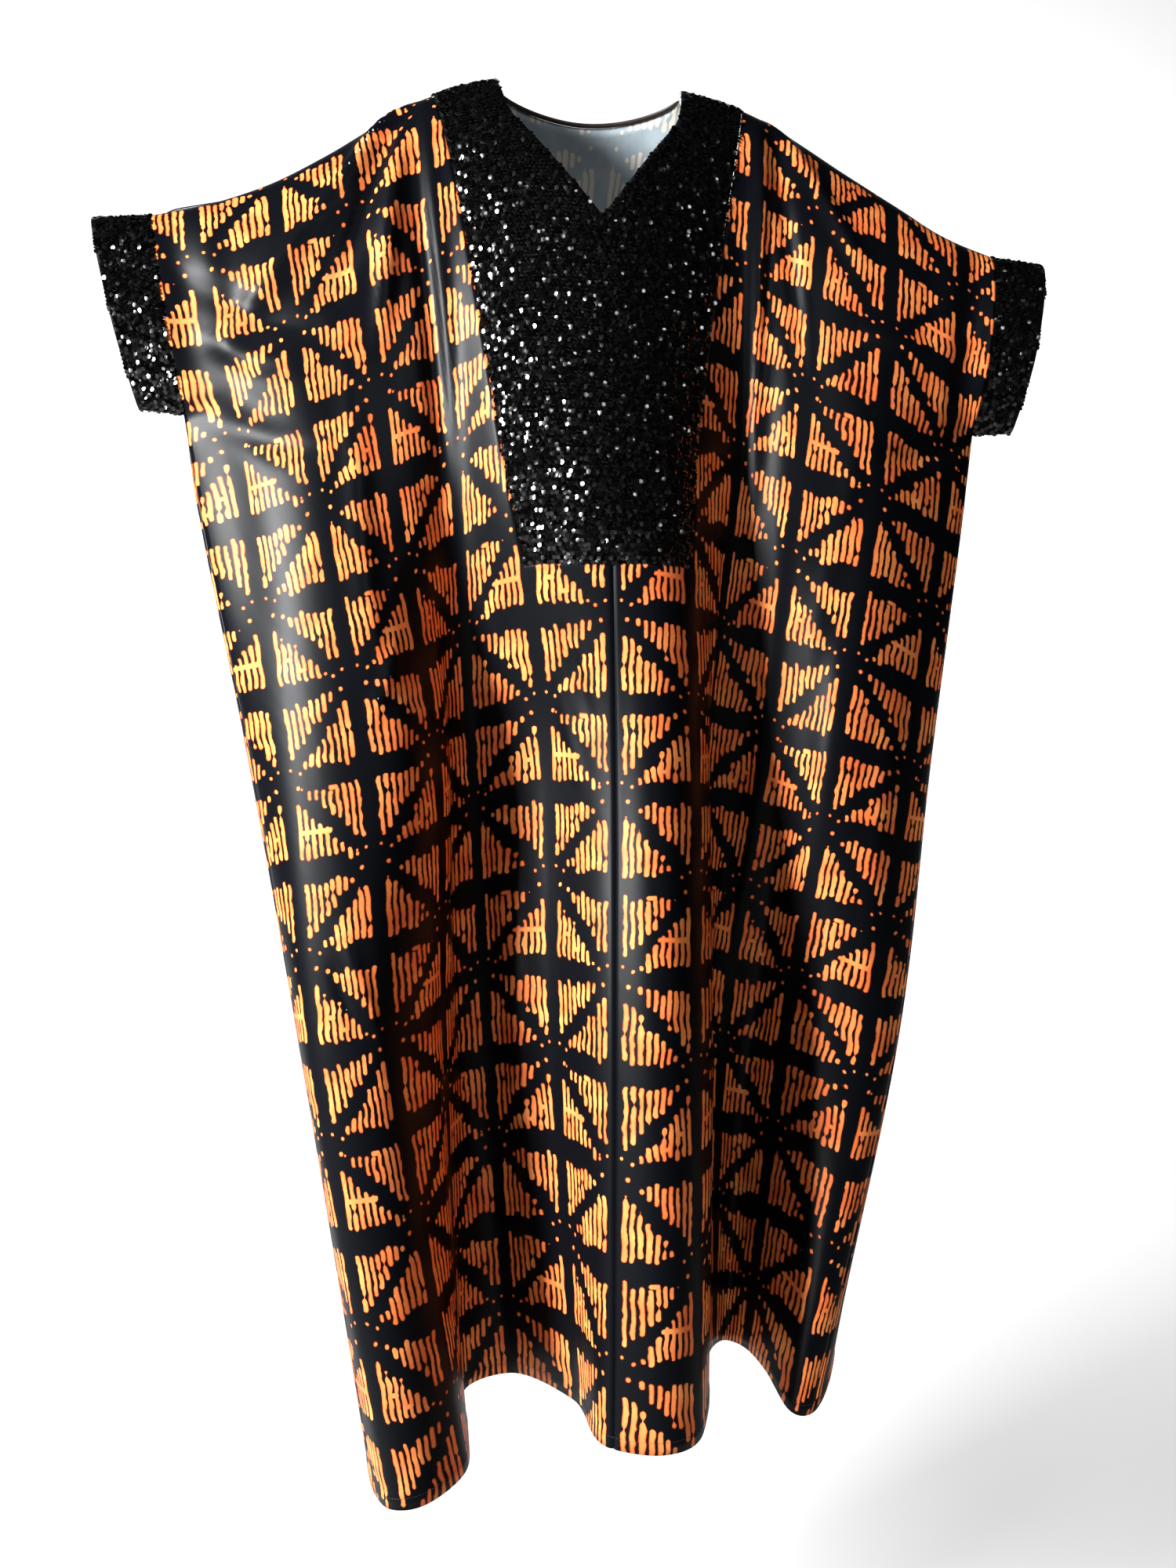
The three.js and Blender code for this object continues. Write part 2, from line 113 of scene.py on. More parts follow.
# One row for each fold line, from the left side seam round the front to the right side seam and back
# over the back panel. X is the place across and out the way to the front at the height named.
FOLDS = table("side cloth topOut chestX chestOut waistX waistOut kneeX kneeOut hemX hemOut hemZ", [
    ("seam", -495, 0, -398, 0, -343, 20, -288, 55, -214, 100, -1402),
    ("front", -460, 38, -360, 20, -315, 50, -275, 92, -199, 138, -1394),
    ("front", -414, 42, -322, 42, -275, 70, -238, 108, -166, 143, -1390),
    ("front", -368, 46, -282, 55, -234, 75, -203, 100, -131, 108, -1385),
    ("front", -310, 50, -236, 54, -183, 60, -162, 48, -126, 48, -1380),
    ("front", -250, 54, -186, 42, -148, 12, -143, -4, -130, -14, -1368),
    ("front", -184, 56, -140, 25, -124, -40, -107, -34, -80, -30, -1360),
    ("front", -99, 64, -83, 65, -52, 0, -43, 22, -22, 55, -1347),
    ("front", 0, 72, 13, 88, 20, 60, 15, 95, 8, 136, -1354),
    ("front", 46, 71, 56, 84, 62, 75, 57, 115, 54, 155, -1352),
    ("front", 92, 64, 94, 68, 106, 50, 98, 92, 92, 132, -1352),
    ("front", 120, 60, 113, 52, 125, 18, 120, 58, 106, 100, -1346),
    ("front", 190, 54, 158, 18, 138, -38, 127, -2, 118, 38, -1340),
    ("front", 255, 52, 200, 40, 185, -28, 150, -55, 137, -25, -1344),
    ("front", 315, 48, 248, 52, 226, 12, 196, -60, 164, -68, -1356),
    ("front", 360, 44, 293, 50, 254, 38, 224, -38, 178, -35, -1350),
    ("front", 405, 40, 338, 35, 300, 32, 256, 2, 188, 10, -1352),
    ("front", 450, 36, 383, 15, 348, 10, 300, 12, 199, 62, -1368),
    ("seam", 495, 0, 414, -5, 389, -30, 343, -10, 223, 64, -1371),
    ("back", 430, -40, 355, -50, 365, -80, 346, -75, 262, 10, -1345),
    ("back", 360, -50, 295, -68, 308, -105, 298, -120, 268, -60, -1338),
    ("back", 300, -60, 243, -72, 255, -105, 245, -135, 233, -125, -1342),
    ("back", 240, -70, 195, -75, 205, -95, 195, -120, 185, -165, -1346),
    ("back", 190, -80, 155, -82, 165, -110, 155, -130, 145, -140, -1350),
    ("back", 110, -92, 90, -100, 105, -148, 98, -175, 100, -200, -1355),
    ("back", 60, -97, 50, -103, 60, -145, 50, -175, 50, -205, -1355),
    ("back", -25, -98, -20, -95, -8, -105, -15, -125, -10, -145, -1355),
    ("back", -90, -92, -72, -88, -62, -85, -66, -95, -55, -100, -1360),
    ("back", -130, -84, -105, -86, -98, -95, -100, -115, -90, -115, -1365),
    ("back", -210, -70, -165, -94, -160, -135, -165, -160, -142, -173, -1375),
    ("back", -280, -60, -225, -82, -225, -120, -225, -125, -200, -130, -1388),
    ("back", -380, -46, -300, -50, -305, -75, -270, -45, -223, -33, -1398),
])

# Small creases that lie on the main folds. Each runs from one place of the cloth to another, and
# height is positive for a ridge and negative for a trough.
CREASES = table("side cloth0 down0 cloth1 down1 width height", [
    (1, -182, 14, -330, 130, 10, 9.0),
    (1, -190, 34, -320, 215, 14, -9.0),
    (1, -196, 50, -272, 290, 12, 7.5),
    (1, -186, 60, -206, 480, 13, -7.0),
    (1, -176, 30, -182, 400, 8, 4.0),
    (1, -300, 90, -440, 235, 15, 6.5),
    (1, -478, 150, -320, 235, 14, -6.0),
    (1, -476, 205, -340, 270, 13, 6.0),
    (1, -482, 290, -330, 350, 17, -6.5),
    (1, -300, 250, -330, 620, 16, 5.0),
    (1, -400, 820, -372, 960, 7, 4.0),
    (1, -418, 860, -398, 940, 5, -3.5),
    (1, -300, 560, -352, 640, 7, 4.0),
    (1, -216, 520, -212, 1340, 20, -9.0),
    (1, -150, 620, -140, 1340, 12, 5.0),
    (1, 150, 620, 160, 1330, 16, -8.0),
    (1, 300, 700, 304, 1320, 18, -7.0),
    (1, -250, 470, -300, 520, 5, 1.5),
    (1, -60, 600, -22, 700, 8, -2.5),
    (1, -70, 660, -40, 760, 7, 2.0),
    (1, 178, 30, 212, 460, 11, 7.0),
    (1, 205, 40, 262, 330, 12, -7.0),
    (1, 190, 20, 330, 170, 12, 5.5),
    (1, 150, 480, 158, 760, 8, 4.5),
    (1, 262, 440, 270, 1080, 12, 5.0),
    (1, 240, 700, 236, 1180, 10, -4.0),
    (1, 478, 190, 330, 240, 14, 6.0),
    (1, 480, 280, 360, 360, 15, -6.0),
    (1, 330, 300, 318, 620, 12, 2.0),
    (1, 420, 600, 432, 1000, 11, 2.0),
    (-1, -170, 20, -300, 180, 12, 4.0),
    (-1, -470, 200, -330, 270, 13, 3.0),
    (-1, -330, 420, -318, 900, 12, 3.0),
    (-1, -60, 300, -50, 900, 11, 2.5),
    (-1, 20, 500, 28, 1200, 12, -2.5),
    (-1, 150, 120, 176, 620, 11, 3.0),
    (-1, 180, 24, 300, 190, 12, 4.0),
    (-1, 474, 210, 336, 290, 13, 3.0),
    (-1, 400, 500, 410, 1100, 12, 2.5),
])

# The print: squares of upright dashes, each cut by a diagonal. Sizes in millimetres.
PRINT_PITCH = 90
PRINT_SQUARE = 75
PRINT_FIRST_ROW = 70
PRINT_DASHES = 10
DASH_HALF = 2.3
DIAGONAL_HALF = 10
EDGE_LINE = 0.7

# How far the print is moved on each cloth, across and up, in metres.
FRONT_SHIFT = (0.0, 0.0)
BACK_SHIFT = (-24 * MM, 0.0)

# How the hand-made print strays: the dashes' wave and width, the thin place that some of them have, and
# the run of their ends at the diagonal and at the edge of the square. FAR leaves a bar out.
DASH_SWAY = 7.5
DASH_SWELL = 2.6
DASH_VARIETY = 0.9
PINCH_ABOVE = 0.62
PINCH_FROM = 14.0
PINCH_RANGE = 48.0
PINCH_LENGTH = 2.6
PINCH_DEPTH = 2.3
CUT_VARIETY = 8.0
EDGE_WAVE = 14.0
EDGE_VARIETY = 7.0
BAR_WAVE = 5.0
FAR = 99.0

# Bars that join dashes in some squares: left, right, level, half width. Dots: across, up, radius.
COMB_BARS = ((38, 71, 30, 2.5), (27, 33, 71, 2.3))
FORK_BARS = ((56, 63, 27, 2.3), (41, 48, 14, 2.3))
DOTS = ((68, 76, 2.2), (0.5, 5.0, 1.6), (11, 0.5, 1.8))

# Satin: fine threads, gloss and how far the print shows through.
WEAVE_SCALE = 2200.0
WEAVE_SHARE = 0.03
SATIN_SPECULAR = 0.08
GHOST_SHARE = 0.82

# The fine shells of the pieces, the gaps at their seams and the turned hem, in millimetres.
SHELL_WALL = 1.2
SHELL_STEP_ACROSS = 6
SHELL_STEP_DOWN = 9
NORMAL_STEP = 1.0
HALF_SEAM = 0.15
SHOULDER_SEAM = 0.25
SAME_SEAM = 6
SEAM_DIP = 1.6
SEAM_ROLL = 2.2
SEAM_STEPS = (8, 5, 3, 1.6, 0.7, 0)
HEM_TURN = 12
HEM_THICK = 0.7
HEM_STITCH_IN = 1.5
THREAD_HALF = 0.22
NECK_COLUMNS = 16
CUFF_STEP = 4
CUFF_ROWS = 12
CUFF_REACH = 3
BINDING_HALF = 97.5
BINDING_HEIGHT = 5
BINDING_WALL = 3
BINDING_SIDES = 12

# How the small creases wander and fade out, and how sharply the hem stands off the cloth.
CREASE_WANDER = 0.35
CREASE_WAVES = 5
CREASE_PHASE = 0.03
CREASE_FADE = 0.8
HEM_EDGE = 1.5

# Grids, the ragged edge of the yoke's sequins, their hang, the stitches and the binding's puckers.
YOKE_ROWS = 60
YOKE_COLUMNS = 56
RAGGED = 0.8
RAGGED_WAVES = 1.7
EDGE_MARGIN = 1.0
CUFF_MARGIN = 0.5
SEQUIN_HANG = 0.16
SIZE_RANGE = (0.93, 1.07)
STITCH_SHARE = 0.4
STITCH_TILT = 0.12
BINDING_STEPS = 64
BINDING_TAPER = 16
PUCKER_DEPTH = 0.07
PUCKER_WAVES = 0.9

# Camera and stage: lengths in metres, the azimuth in degrees, the lens and the sensor in millimetres.
CAMERA_DISTANCE = 1.236
CAMERA_HEIGHT = -0.731
CAMERA_AZIMUTH = -6.5
CAMERA_LENS = 27
SENSOR = 36
FLOOR_Z = -1.85
FLOOR_REACH = 6
BACKDROP_Y = 3.2
BACKDROP_BEND = 1.2
BACKDROP_TOP = 5
BEND_STEPS = 16
FLOOR_GREY = 0.4
FLOOR_GLOW = 0.4
SEEN_STRENGTH = 0.8

# Soft boxes: name, place, point they look at, size across and up, share of the key power, and
# whether gloss shows them.
LIGHTS = (
    ("key", (-2.3, -1.35, 0.05), (-0.1, 0, -0.75), (0.55, 0.85), 1.0, True),
    ("fill", (0.7, -2.4, 0.5), (0.05, 0, -0.5), (0.36, 0.36), 0.026, True),
    ("left backdrop", (-2.6, 0.9, 0.5), (-0.5, 3.2, 0.8), (1.0, 2.2), 0.45, False),
    ("right backdrop", (2.6, 0.9, 0.5), (0.5, 3.2, 0.8), (1.0, 2.2), 0.45, False),
)


def smooth(value):
    t = np.clip(value, 0, 1)
    return t * t * (3 - 2 * t)


def mix(a, b, t):
    return a + (b - a) * t


def bend(a, b, slope_a, slope_b, length, t):
    """A cubic between two values with the slopes at both."""
    t2 = t * t
    t3 = t2 * t
    start = (2 * t3 - 3 * t2 + 1) * a + (t3 - 2 * t2 + t) * length * slope_a
    return start + (3 * t2 - 2 * t3) * b + (t3 - t2) * length * slope_b


def slopes(places, values):
    """The slope of a smooth curve at each of its points."""
    gaps = np.diff(places)
    chords = np.diff(values) / gaps
    middle = (chords[:-1] * gaps[1:] + chords[1:] * gaps[:-1]) / (gaps[:-1] + gaps[1:])
    return np.concatenate([chords[:1], middle, chords[-1:]])


def curve(places, values, at):
    """A smooth curve through the points, read at many places."""
    places = np.asarray(places, float)
    values = np.asarray(values, float)
    slope = slopes(places, values)
    i = np.clip(np.searchsorted(places, at, side="right") - 1, 0, len(places) - 2)
    length = places[i + 1] - places[i]
    t = (at - places[i]) / length
    return bend(values[i], values[i + 1], slope[i], slope[i + 1], length, t)


def shoulder_x(cloth):
    return curve(SHOULDER["cloth"], SHOULDER["x"], cloth)


def shoulder_drop(cloth):
    return curve(SHOULDER["cloth"], SHOULDER["drop"], cloth)


def shoulder_cut(cloth):
    t = (np.abs(cloth) - NECK_HALF) / (HALF_WIDTH - NECK_HALF)
    return SHOULDER_FALL * np.maximum(t, 0)


def fold_curve(row, kind, z):
    """One fold line's place across (X) or way out (Out) at many heights."""
    cloth = FOLDS["cloth"][row]
    heights = [FOLDS["hemZ"][row], KNEE_Z, WAIST_Z, CHEST_Z, -shoulder_drop(cloth)]
    top = shoulder_x(cloth) if kind == "X" else FOLDS["topOut"][row]
    values = [FOLDS[level + kind][row] for level in ("hem", "knee", "waist", "chest")]
    return curve(heights, values + [top], z)


RING = np.where(FOLDS["side"] == "back", 2 * HALF_WIDTH - FOLDS["cloth"], FOLDS["cloth"]).astype(float)
RING_PLACES = np.concatenate([RING[-2:] - PERIOD, RING, RING[:2] + PERIOD])


def read_ring(place, values):
    """Reads the closed ring of fold lines at many places; values hold one row for each fold line."""
    rows = np.concatenate([values[-2:], values, values[:2]])
    wrapped = np.mod(place + HALF_WIDTH, PERIOD) - HALF_WIDTH
    i = np.clip(np.searchsorted(RING_PLACES, wrapped, side="right") - 1, 1, len(RING_PLACES) - 3)
    n = np.arange(wrapped.size)

    def slope(j):
        left = RING_PLACES[j] - RING_PLACES[j - 1]
        right = RING_PLACES[j + 1] - RING_PLACES[j]
        before = (rows[j, n] - rows[j - 1, n]) / left
        after = (rows[j + 1, n] - rows[j, n]) / right
        return (before * right + after * left) / (left + right)

    length = RING_PLACES[i + 1] - RING_PLACES[i]
    t = (wrapped - RING_PLACES[i]) / length
    return bend(rows[i, n], rows[i + 1, n], slope(i), slope(i + 1), length, t)


def roll_table():
    """Angle and arc length along the quarter ellipse of the roll, one unit high."""
    angle = np.linspace(0, math.pi / 2, ROLL_STEPS + 1)
    step = np.hypot(ROLL_RATIO * np.diff(np.sin(angle)), np.diff(np.cos(angle)))
    return angle, np.concatenate([[0], np.cumsum(step)])


ROLL_ANGLE, ROLL_ARC = roll_table()


def hang(cloth, down):
    """How far a point hangs under the shoulder seam, and how far the roll has opened there."""
    t = np.clip((np.abs(cloth) - NECK_HALF) / (HALF_WIDTH - NECK_HALF), 0, 1)
    height = mix(ROLL_AT_NECK, ROLL_AT_SLEEVE, t)
    arc = np.maximum(down - shoulder_cut(cloth), 0) / height
    angle = np.interp(arc, ROLL_ARC, ROLL_ANGLE)
    past = np.maximum(arc - ROLL_ARC[-1], 0)
    return height * (1 - np.cos(angle) + past), np.sin(angle)


def sleeve(cloth, depth):
    """The half width of the open sleeve end, and how much of it reaches a point of the panel."""
    level = 1 - depth / (SLEEVE_OPENING / 2)
    oval = SLEEVE_OUT * np.sqrt(np.maximum(1 - level * level, 0))
    near = smooth((np.abs(cloth) - SLEEVE_START) / (HALF_WIDTH - SLEEVE_START))
    fade = 1 - smooth((depth - SLEEVE_FADE_FROM) / SLEEVE_FADE_LENGTH)
    return oval, near * fade


def sleeve_x(cloth, z):
    left = fold_curve(0, "X", z)
    right = fold_curve(int(np.flatnonzero(RING == HALF_WIDTH)[0]), "X", z)
    seam = np.where(cloth < 0, left, right)
    ends = shoulder_x(np.array([-HALF_WIDTH, HALF_WIDTH]))
    return seam * shoulder_x(cloth) / np.where(cloth < 0, *ends)


def surface(side, cloth, down):
    """Points of the outer face in millimetres; side is 1 for the front and -1 for the back."""
    cloth = np.asarray(cloth, float)
    down = np.asarray(down, float)
    place = cloth if side > 0 else 2 * HALF_WIDTH - cloth
    depth, opened = hang(cloth, down)
    whole = hang(cloth, np.full_like(cloth, CLOTH_LENGTH))[0]
    fall = shoulder_drop(cloth)
    part = (down - shoulder_cut(cloth)) / (CLOTH_LENGTH - shoulder_cut(cloth))
    hems = np.repeat(FOLDS["hemZ"][:, None].astype(float), cloth.size, axis=1)
    z = -(fall + depth) + (read_ring(place, hems) + fall + whole) * part
    rows = range(len(RING))
    ring_x = read_ring(place, np.array([fold_curve(row, "X", z) for row in rows]))
    ring_out = read_ring(place, np.array([fold_curve(row, "Out", z) for row in rows])) * opened
    oval, share = sleeve(cloth, depth)
    x = mix(ring_x, sleeve_x(cloth, z), share)
    return np.stack([x, -mix(ring_out, side * oval, share), z], axis=-1)


def unit(vectors):
    return vectors / np.linalg.norm(vectors, axis=-1, keepdims=True)


def face_normal(side, cloth, down):
    level = np.maximum(down, shoulder_cut(cloth) + 2 * NORMAL_STEP)
    inner = np.clip(cloth, -HALF_WIDTH + NORMAL_STEP, HALF_WIDTH - NORMAL_STEP)
    across = surface(side, inner + NORMAL_STEP, level) - surface(side, inner - NORMAL_STEP, level)
    along = surface(side, inner, level + NORMAL_STEP) - surface(side, inner, level - NORMAL_STEP)
    return unit(np.cross(across, along) * -side)


def outward(side, cloth, down):
    """The outward direction; near the side and shoulder seams the front and the back take the same one."""
    own = face_normal(side, cloth, down)
    other = face_normal(-side, cloth, down)
    apart = np.linalg.norm(surface(1, cloth, down) - surface(-1, cloth, down), axis=-1)
    share = 0.5 * (1 - smooth(apart / SAME_SEAM))
    return unit(mix(own, other, share[:, None]))


def relief(side, cloth, down):
    """Height of the small creases over the main form, in millimetres."""
    height = np.zeros(cloth.shape)
    for own, c0, d0, c1, d1, width, top in zip(*CREASES.values()):
        if own != side:
            continue
        length = math.hypot(c1 - c0, d1 - d0)
        t = ((cloth - c0) * (c1 - c0) + (down - d0) * (d1 - d0)) / length**2
        off = ((cloth - c0) * (d1 - d0) - (down - d0) * (c1 - c0)) / length
        wander = CREASE_WANDER * width * np.sin(CREASE_WAVES * t + CREASE_PHASE * c0)
        taper = np.sin(math.pi * np.clip(t, 0, 1)) ** CREASE_FADE
        height += top * taper * np.exp(-((off + wander) / width) ** 2)
    return height


def hem_relief(down):
    """The turned hem stands a little off the cloth."""
    return HEM_THICK * smooth((down - (CLOTH_LENGTH - HEM_TURN)) / HEM_EDGE)


def yoke_half(down):
    return mix(YOKE_TOP_HALF, YOKE_BOTTOM_HALF, np.clip(down / YOKE_BOTTOM, 0, 1))


def front_neck(share):
    """The lower edge of the front neck; share is 0 at the centre and 1 at a neck point."""
    v_edge = NECK_FRONT_DEPTH - NECK_V_RISE * share - NECK_V_BOW * share**2
    return v_edge - (NECK_FRONT_DEPTH - NECK_V_RISE - NECK_V_BOW) * share**NECK_TURN


def back_neck(cloth):
    t = np.clip(np.abs(cloth) / NECK_HALF, 0, 1)
    return NECK_BACK_DEPTH * np.sqrt(1 - t * t)


def steps(low, high, size):
    """Evenly spaced values from low to high, at most one size apart."""
    return np.linspace(low, high, max(int(math.ceil(abs(high - low) / size)), 1) + 1)


def seam_distance(side, cloth, down):
    """Distance on the cloth to the nearest seam round the yoke or down the centre front."""
    if side < 0:
        return np.full_like(cloth, CLOTH_LENGTH)
    across = np.abs(cloth)
    beside = np.abs(across - yoke_half(down))
    under = np.hypot(np.maximum(across - YOKE_BOTTOM_HALF, 0), down - YOKE_BOTTOM)
    return np.where(down < YOKE_BOTTOM, np.minimum(beside, under), np.minimum(across, under))


def grid(rows, columns, place):
    """Cloth and down values of a grid, and its quads. Place turns the shares down and across into both."""
    v, u = np.meshgrid(rows, columns, indexing="ij")
    cloth, down = place(v.ravel(), u.ravel())
    index = np.arange(v.size).reshape(v.shape)
    corners = (index[:-1, :-1], index[1:, :-1], index[1:, 1:], index[:-1, 1:])
    return cloth, down, np.stack([corner.ravel() for corner in corners], axis=1)


def facing(points, normals, quads):
    """The quads, turned round where they face against the normals."""
    a, b, c, d = (points[quads[:, i]] for i in range(4))
    agree = np.einsum("ij,ij->i", np.cross(c - a, d - b), normals[quads[:, 0]]).sum()
    return quads if agree > 0 else quads[:, ::-1]


def sheet(side, *grids):
    """One sheet of cloth from grids that share edges: points, normals, quads and cloth coordinates."""
    starts = np.cumsum([0] + [len(cloth) for cloth, _, _ in grids])
    quads = np.concatenate([part[2] + start for part, start in zip(grids, starts)])
    places = np.concatenate([np.stack(part[:2], axis=1) for part in grids])
    places, welded = np.unique(places.round(3), axis=0, return_inverse=True)
    cloth, down = places.T
    normals = outward(side, cloth, down)
    dip = SEAM_DIP * np.exp(-((seam_distance(side, cloth, down) / SEAM_ROLL) ** 2))
    height = relief(side, cloth, down) + hem_relief(down) - dip
    points = surface(side, cloth, down) + normals * height[:, None]
    quads = facing(points, normals, welded.ravel()[quads])
    return points, normals, quads, np.stack([cloth, CLOTH_LENGTH - down], axis=1)


def shell(points, normals, quads, uv, wall):
    """A closed thin shell: the sheet, its reverse one wall further in and a rim round the open edges."""
    count = len(points)
    first, second = quads.ravel(), np.roll(quads, -1, axis=1).ravel()
    real = first != second
    first, second = first[real], second[real]
    free = ~np.isin(first * count + second, second * count + first)
    first, second = first[free], second[free]
    rim = np.stack([second, first, first + count, second + count], axis=1)
    faces = np.concatenate([quads, quads[:, ::-1] + count, rim])
    kinds = np.repeat([0, 1, 0], [len(quads), len(quads), len(rim)])
    return np.concatenate([points, points - wall * normals]), faces, kinds, np.concatenate([uv, uv])


def add_object(name, data):
    """A new object in the scene that holds this mesh, light or camera."""
    obj = bpy.data.objects.new(name, data)
    bpy.context.scene.collection.objects.link(obj)
    return obj


def mesh_object(name, data, materials):
    """A smooth mesh object in metres with a cloth UV map, from arrays in millimetres."""
    points, faces, kinds, uv = data
    mesh = bpy.data.meshes.new(name)
    mesh.from_pydata((points * MM).tolist(), [], [list(dict.fromkeys(face)) for face in faces.tolist()])
    mesh.polygons.foreach_set("material_index", kinds.astype(np.int32))
    mesh.polygons.foreach_set("use_smooth", np.ones(len(faces), bool))
    corners = np.empty(len(mesh.loops), np.int32)
    mesh.loops.foreach_get("vertex_index", corners)
    mesh.uv_layers.new(name="cloth").data.foreach_set("uv", (uv[corners] * MM).ravel())
    for material in materials:
        mesh.materials.append(material)
    return add_object(name, mesh)


def connect(value, socket):
    """Links a term or a socket to an input, or sets a plain value on it."""
    value = getattr(value, "socket", value)
    if isinstance(value, bpy.types.NodeSocket):
        socket.id_data.links.new(value, socket)
    else:
        socket.default_value = value


def set_inputs(node, inputs):
    """Sets or links sockets, which go by their name or their number."""
    for label, value in dict(inputs).items():
        connect(value, node.inputs[label])


def add_node(tree, kind, inputs=(), **settings):
    """A new node of a tree with these settings and inputs."""
    node = tree.nodes.new(kind)
    for name, value in settings.items():
        setattr(node, name, value)
    set_inputs(node, inputs)
    return node


class Term:
    """An output of a node that adds, multiplies and compares as a number does."""

    def __init__(self, socket):
        self.socket = socket
        self.tree = socket.id_data

    def math(self, operation, *others):
        node = add_node(self.tree, "ShaderNodeMath", enumerate((self, *others)), operation=operation)
        return Term(node.outputs[0])

    def __add__(self, other):
        return self.math("ADD", other)

    def __sub__(self, other):
        return self.math("SUBTRACT", other)

    def __rsub__(self, other):
        return self.math("MULTIPLY_ADD", -1.0, other)

    def __mul__(self, other):
        return self.math("MULTIPLY", other)

    def __truediv__(self, other):
        return self.math("DIVIDE", other)

    def __mod__(self, other):
        return self.math("FLOORED_MODULO", other)

    def __gt__(self, other):
        return self.math("GREATER_THAN", other)

    def __abs__(self):
        return self.math("ABSOLUTE")

    def floor(self):
        return self.math("FLOOR")

    def larger(self, other):
        return self.math("MAXIMUM", other)

    def smaller(self, other):
        return self.math("MINIMUM", other)


def vector(*parts):
    """A vector of three terms or numbers, the first of them a term."""
    return Term(add_node(parts[0].tree, "ShaderNodeCombineXYZ", enumerate(parts)).outputs[0])


def split(term):
    node = add_node(term.tree, "ShaderNodeSeparateXYZ", {0: term})
    return [Term(socket) for socket in node.outputs]


def noise(place, scale, detail=1.0):
    """Noise about zero, from -0.5 to 0.5."""
    inputs = {"Vector": place, "Scale": scale, "Detail": detail}
    return Term(add_node(place.tree, "ShaderNodeTexNoise", inputs).outputs["Fac"]) - 0.5


def chances(place):
    """Three random values from 0 to 1 that are the same for the same place."""
    node = add_node(place.tree, "ShaderNodeTexWhiteNoise", {"Vector": place})
    return split(Term(node.outputs["Color"]))


def ramp(value, low, high):
    """0 at low and 1 at high, with soft ends."""
    inputs = {"Value": value, "From Min": low, "From Max": high}
    node = add_node(value.tree, "ShaderNodeMapRange", inputs, interpolation_type="SMOOTHSTEP")
    return Term(node.outputs["Result"])


def blend(share, a, b):
    """Colour a where share is 0 and b where it is 1."""
    node = add_node(share.tree, "ShaderNodeMix", {0: share}, data_type="RGBA")
    colours = [socket for socket in node.inputs if socket.type == "RGBA"]
    connect(a, colours[0])
    connect(b, colours[1])
    return Term(next(socket for socket in node.outputs if socket.type == "RGBA"))


def new_group(name, kind, inputs, outputs):
    """An empty node group: its tree, its inputs as terms by name, and its output node. Rows of inputs
    are name, socket type and default, and rows of outputs are name and socket type."""
    tree = bpy.data.node_groups.new(name, kind)
    for label, socket_type, value in inputs:
        socket = tree.interface.new_socket(name=label, in_out="INPUT", socket_type=socket_type)
        if value is not None:
            socket.default_value = value
    for label, socket_type in outputs:
        tree.interface.new_socket(name=label, in_out="OUTPUT", socket_type=socket_type)
    given = {socket.name: Term(socket) for socket in tree.nodes.new("NodeGroupInput").outputs}
    return tree, given, tree.nodes.new("NodeGroupOutput")


def shader_group(name, inputs, outputs):
    """A shader node group over cloth coordinates, with number inputs and outputs."""
    rows = [("Vector", "NodeSocketVector", None)]
    rows += [(label, "NodeSocketFloat", value) for label, value in inputs]
    return new_group(name, "ShaderNodeTree", rows, [(label, "NodeSocketFloat") for label in outputs])


def distance(across, up):
    """Distance from a point that lies this far off across and up."""
    return (across * across + up * up).math("SQRT")


def upright(x, y, middle, low, high, half):
    """Signed distance to an upright dash with round ends, from low to high at the middle line."""
    length = high - low
    reach = (length * 0.5 - half).larger(0.0)
    past = (abs(y - (high + low) * 0.5) - reach).larger(0.0)
    radius = half * (length / (half * 2.0)).smaller(1.0).larger(-1.0)
    return distance(past, x - middle) - radius


def level_bar(x, y, left, right, level, half):
    """Signed distance to a level bar with round ends."""
    past = (abs(x - (left + right) / 2) - (right - left) / 2).larger(0.0)
    return distance(past, y - level) - half


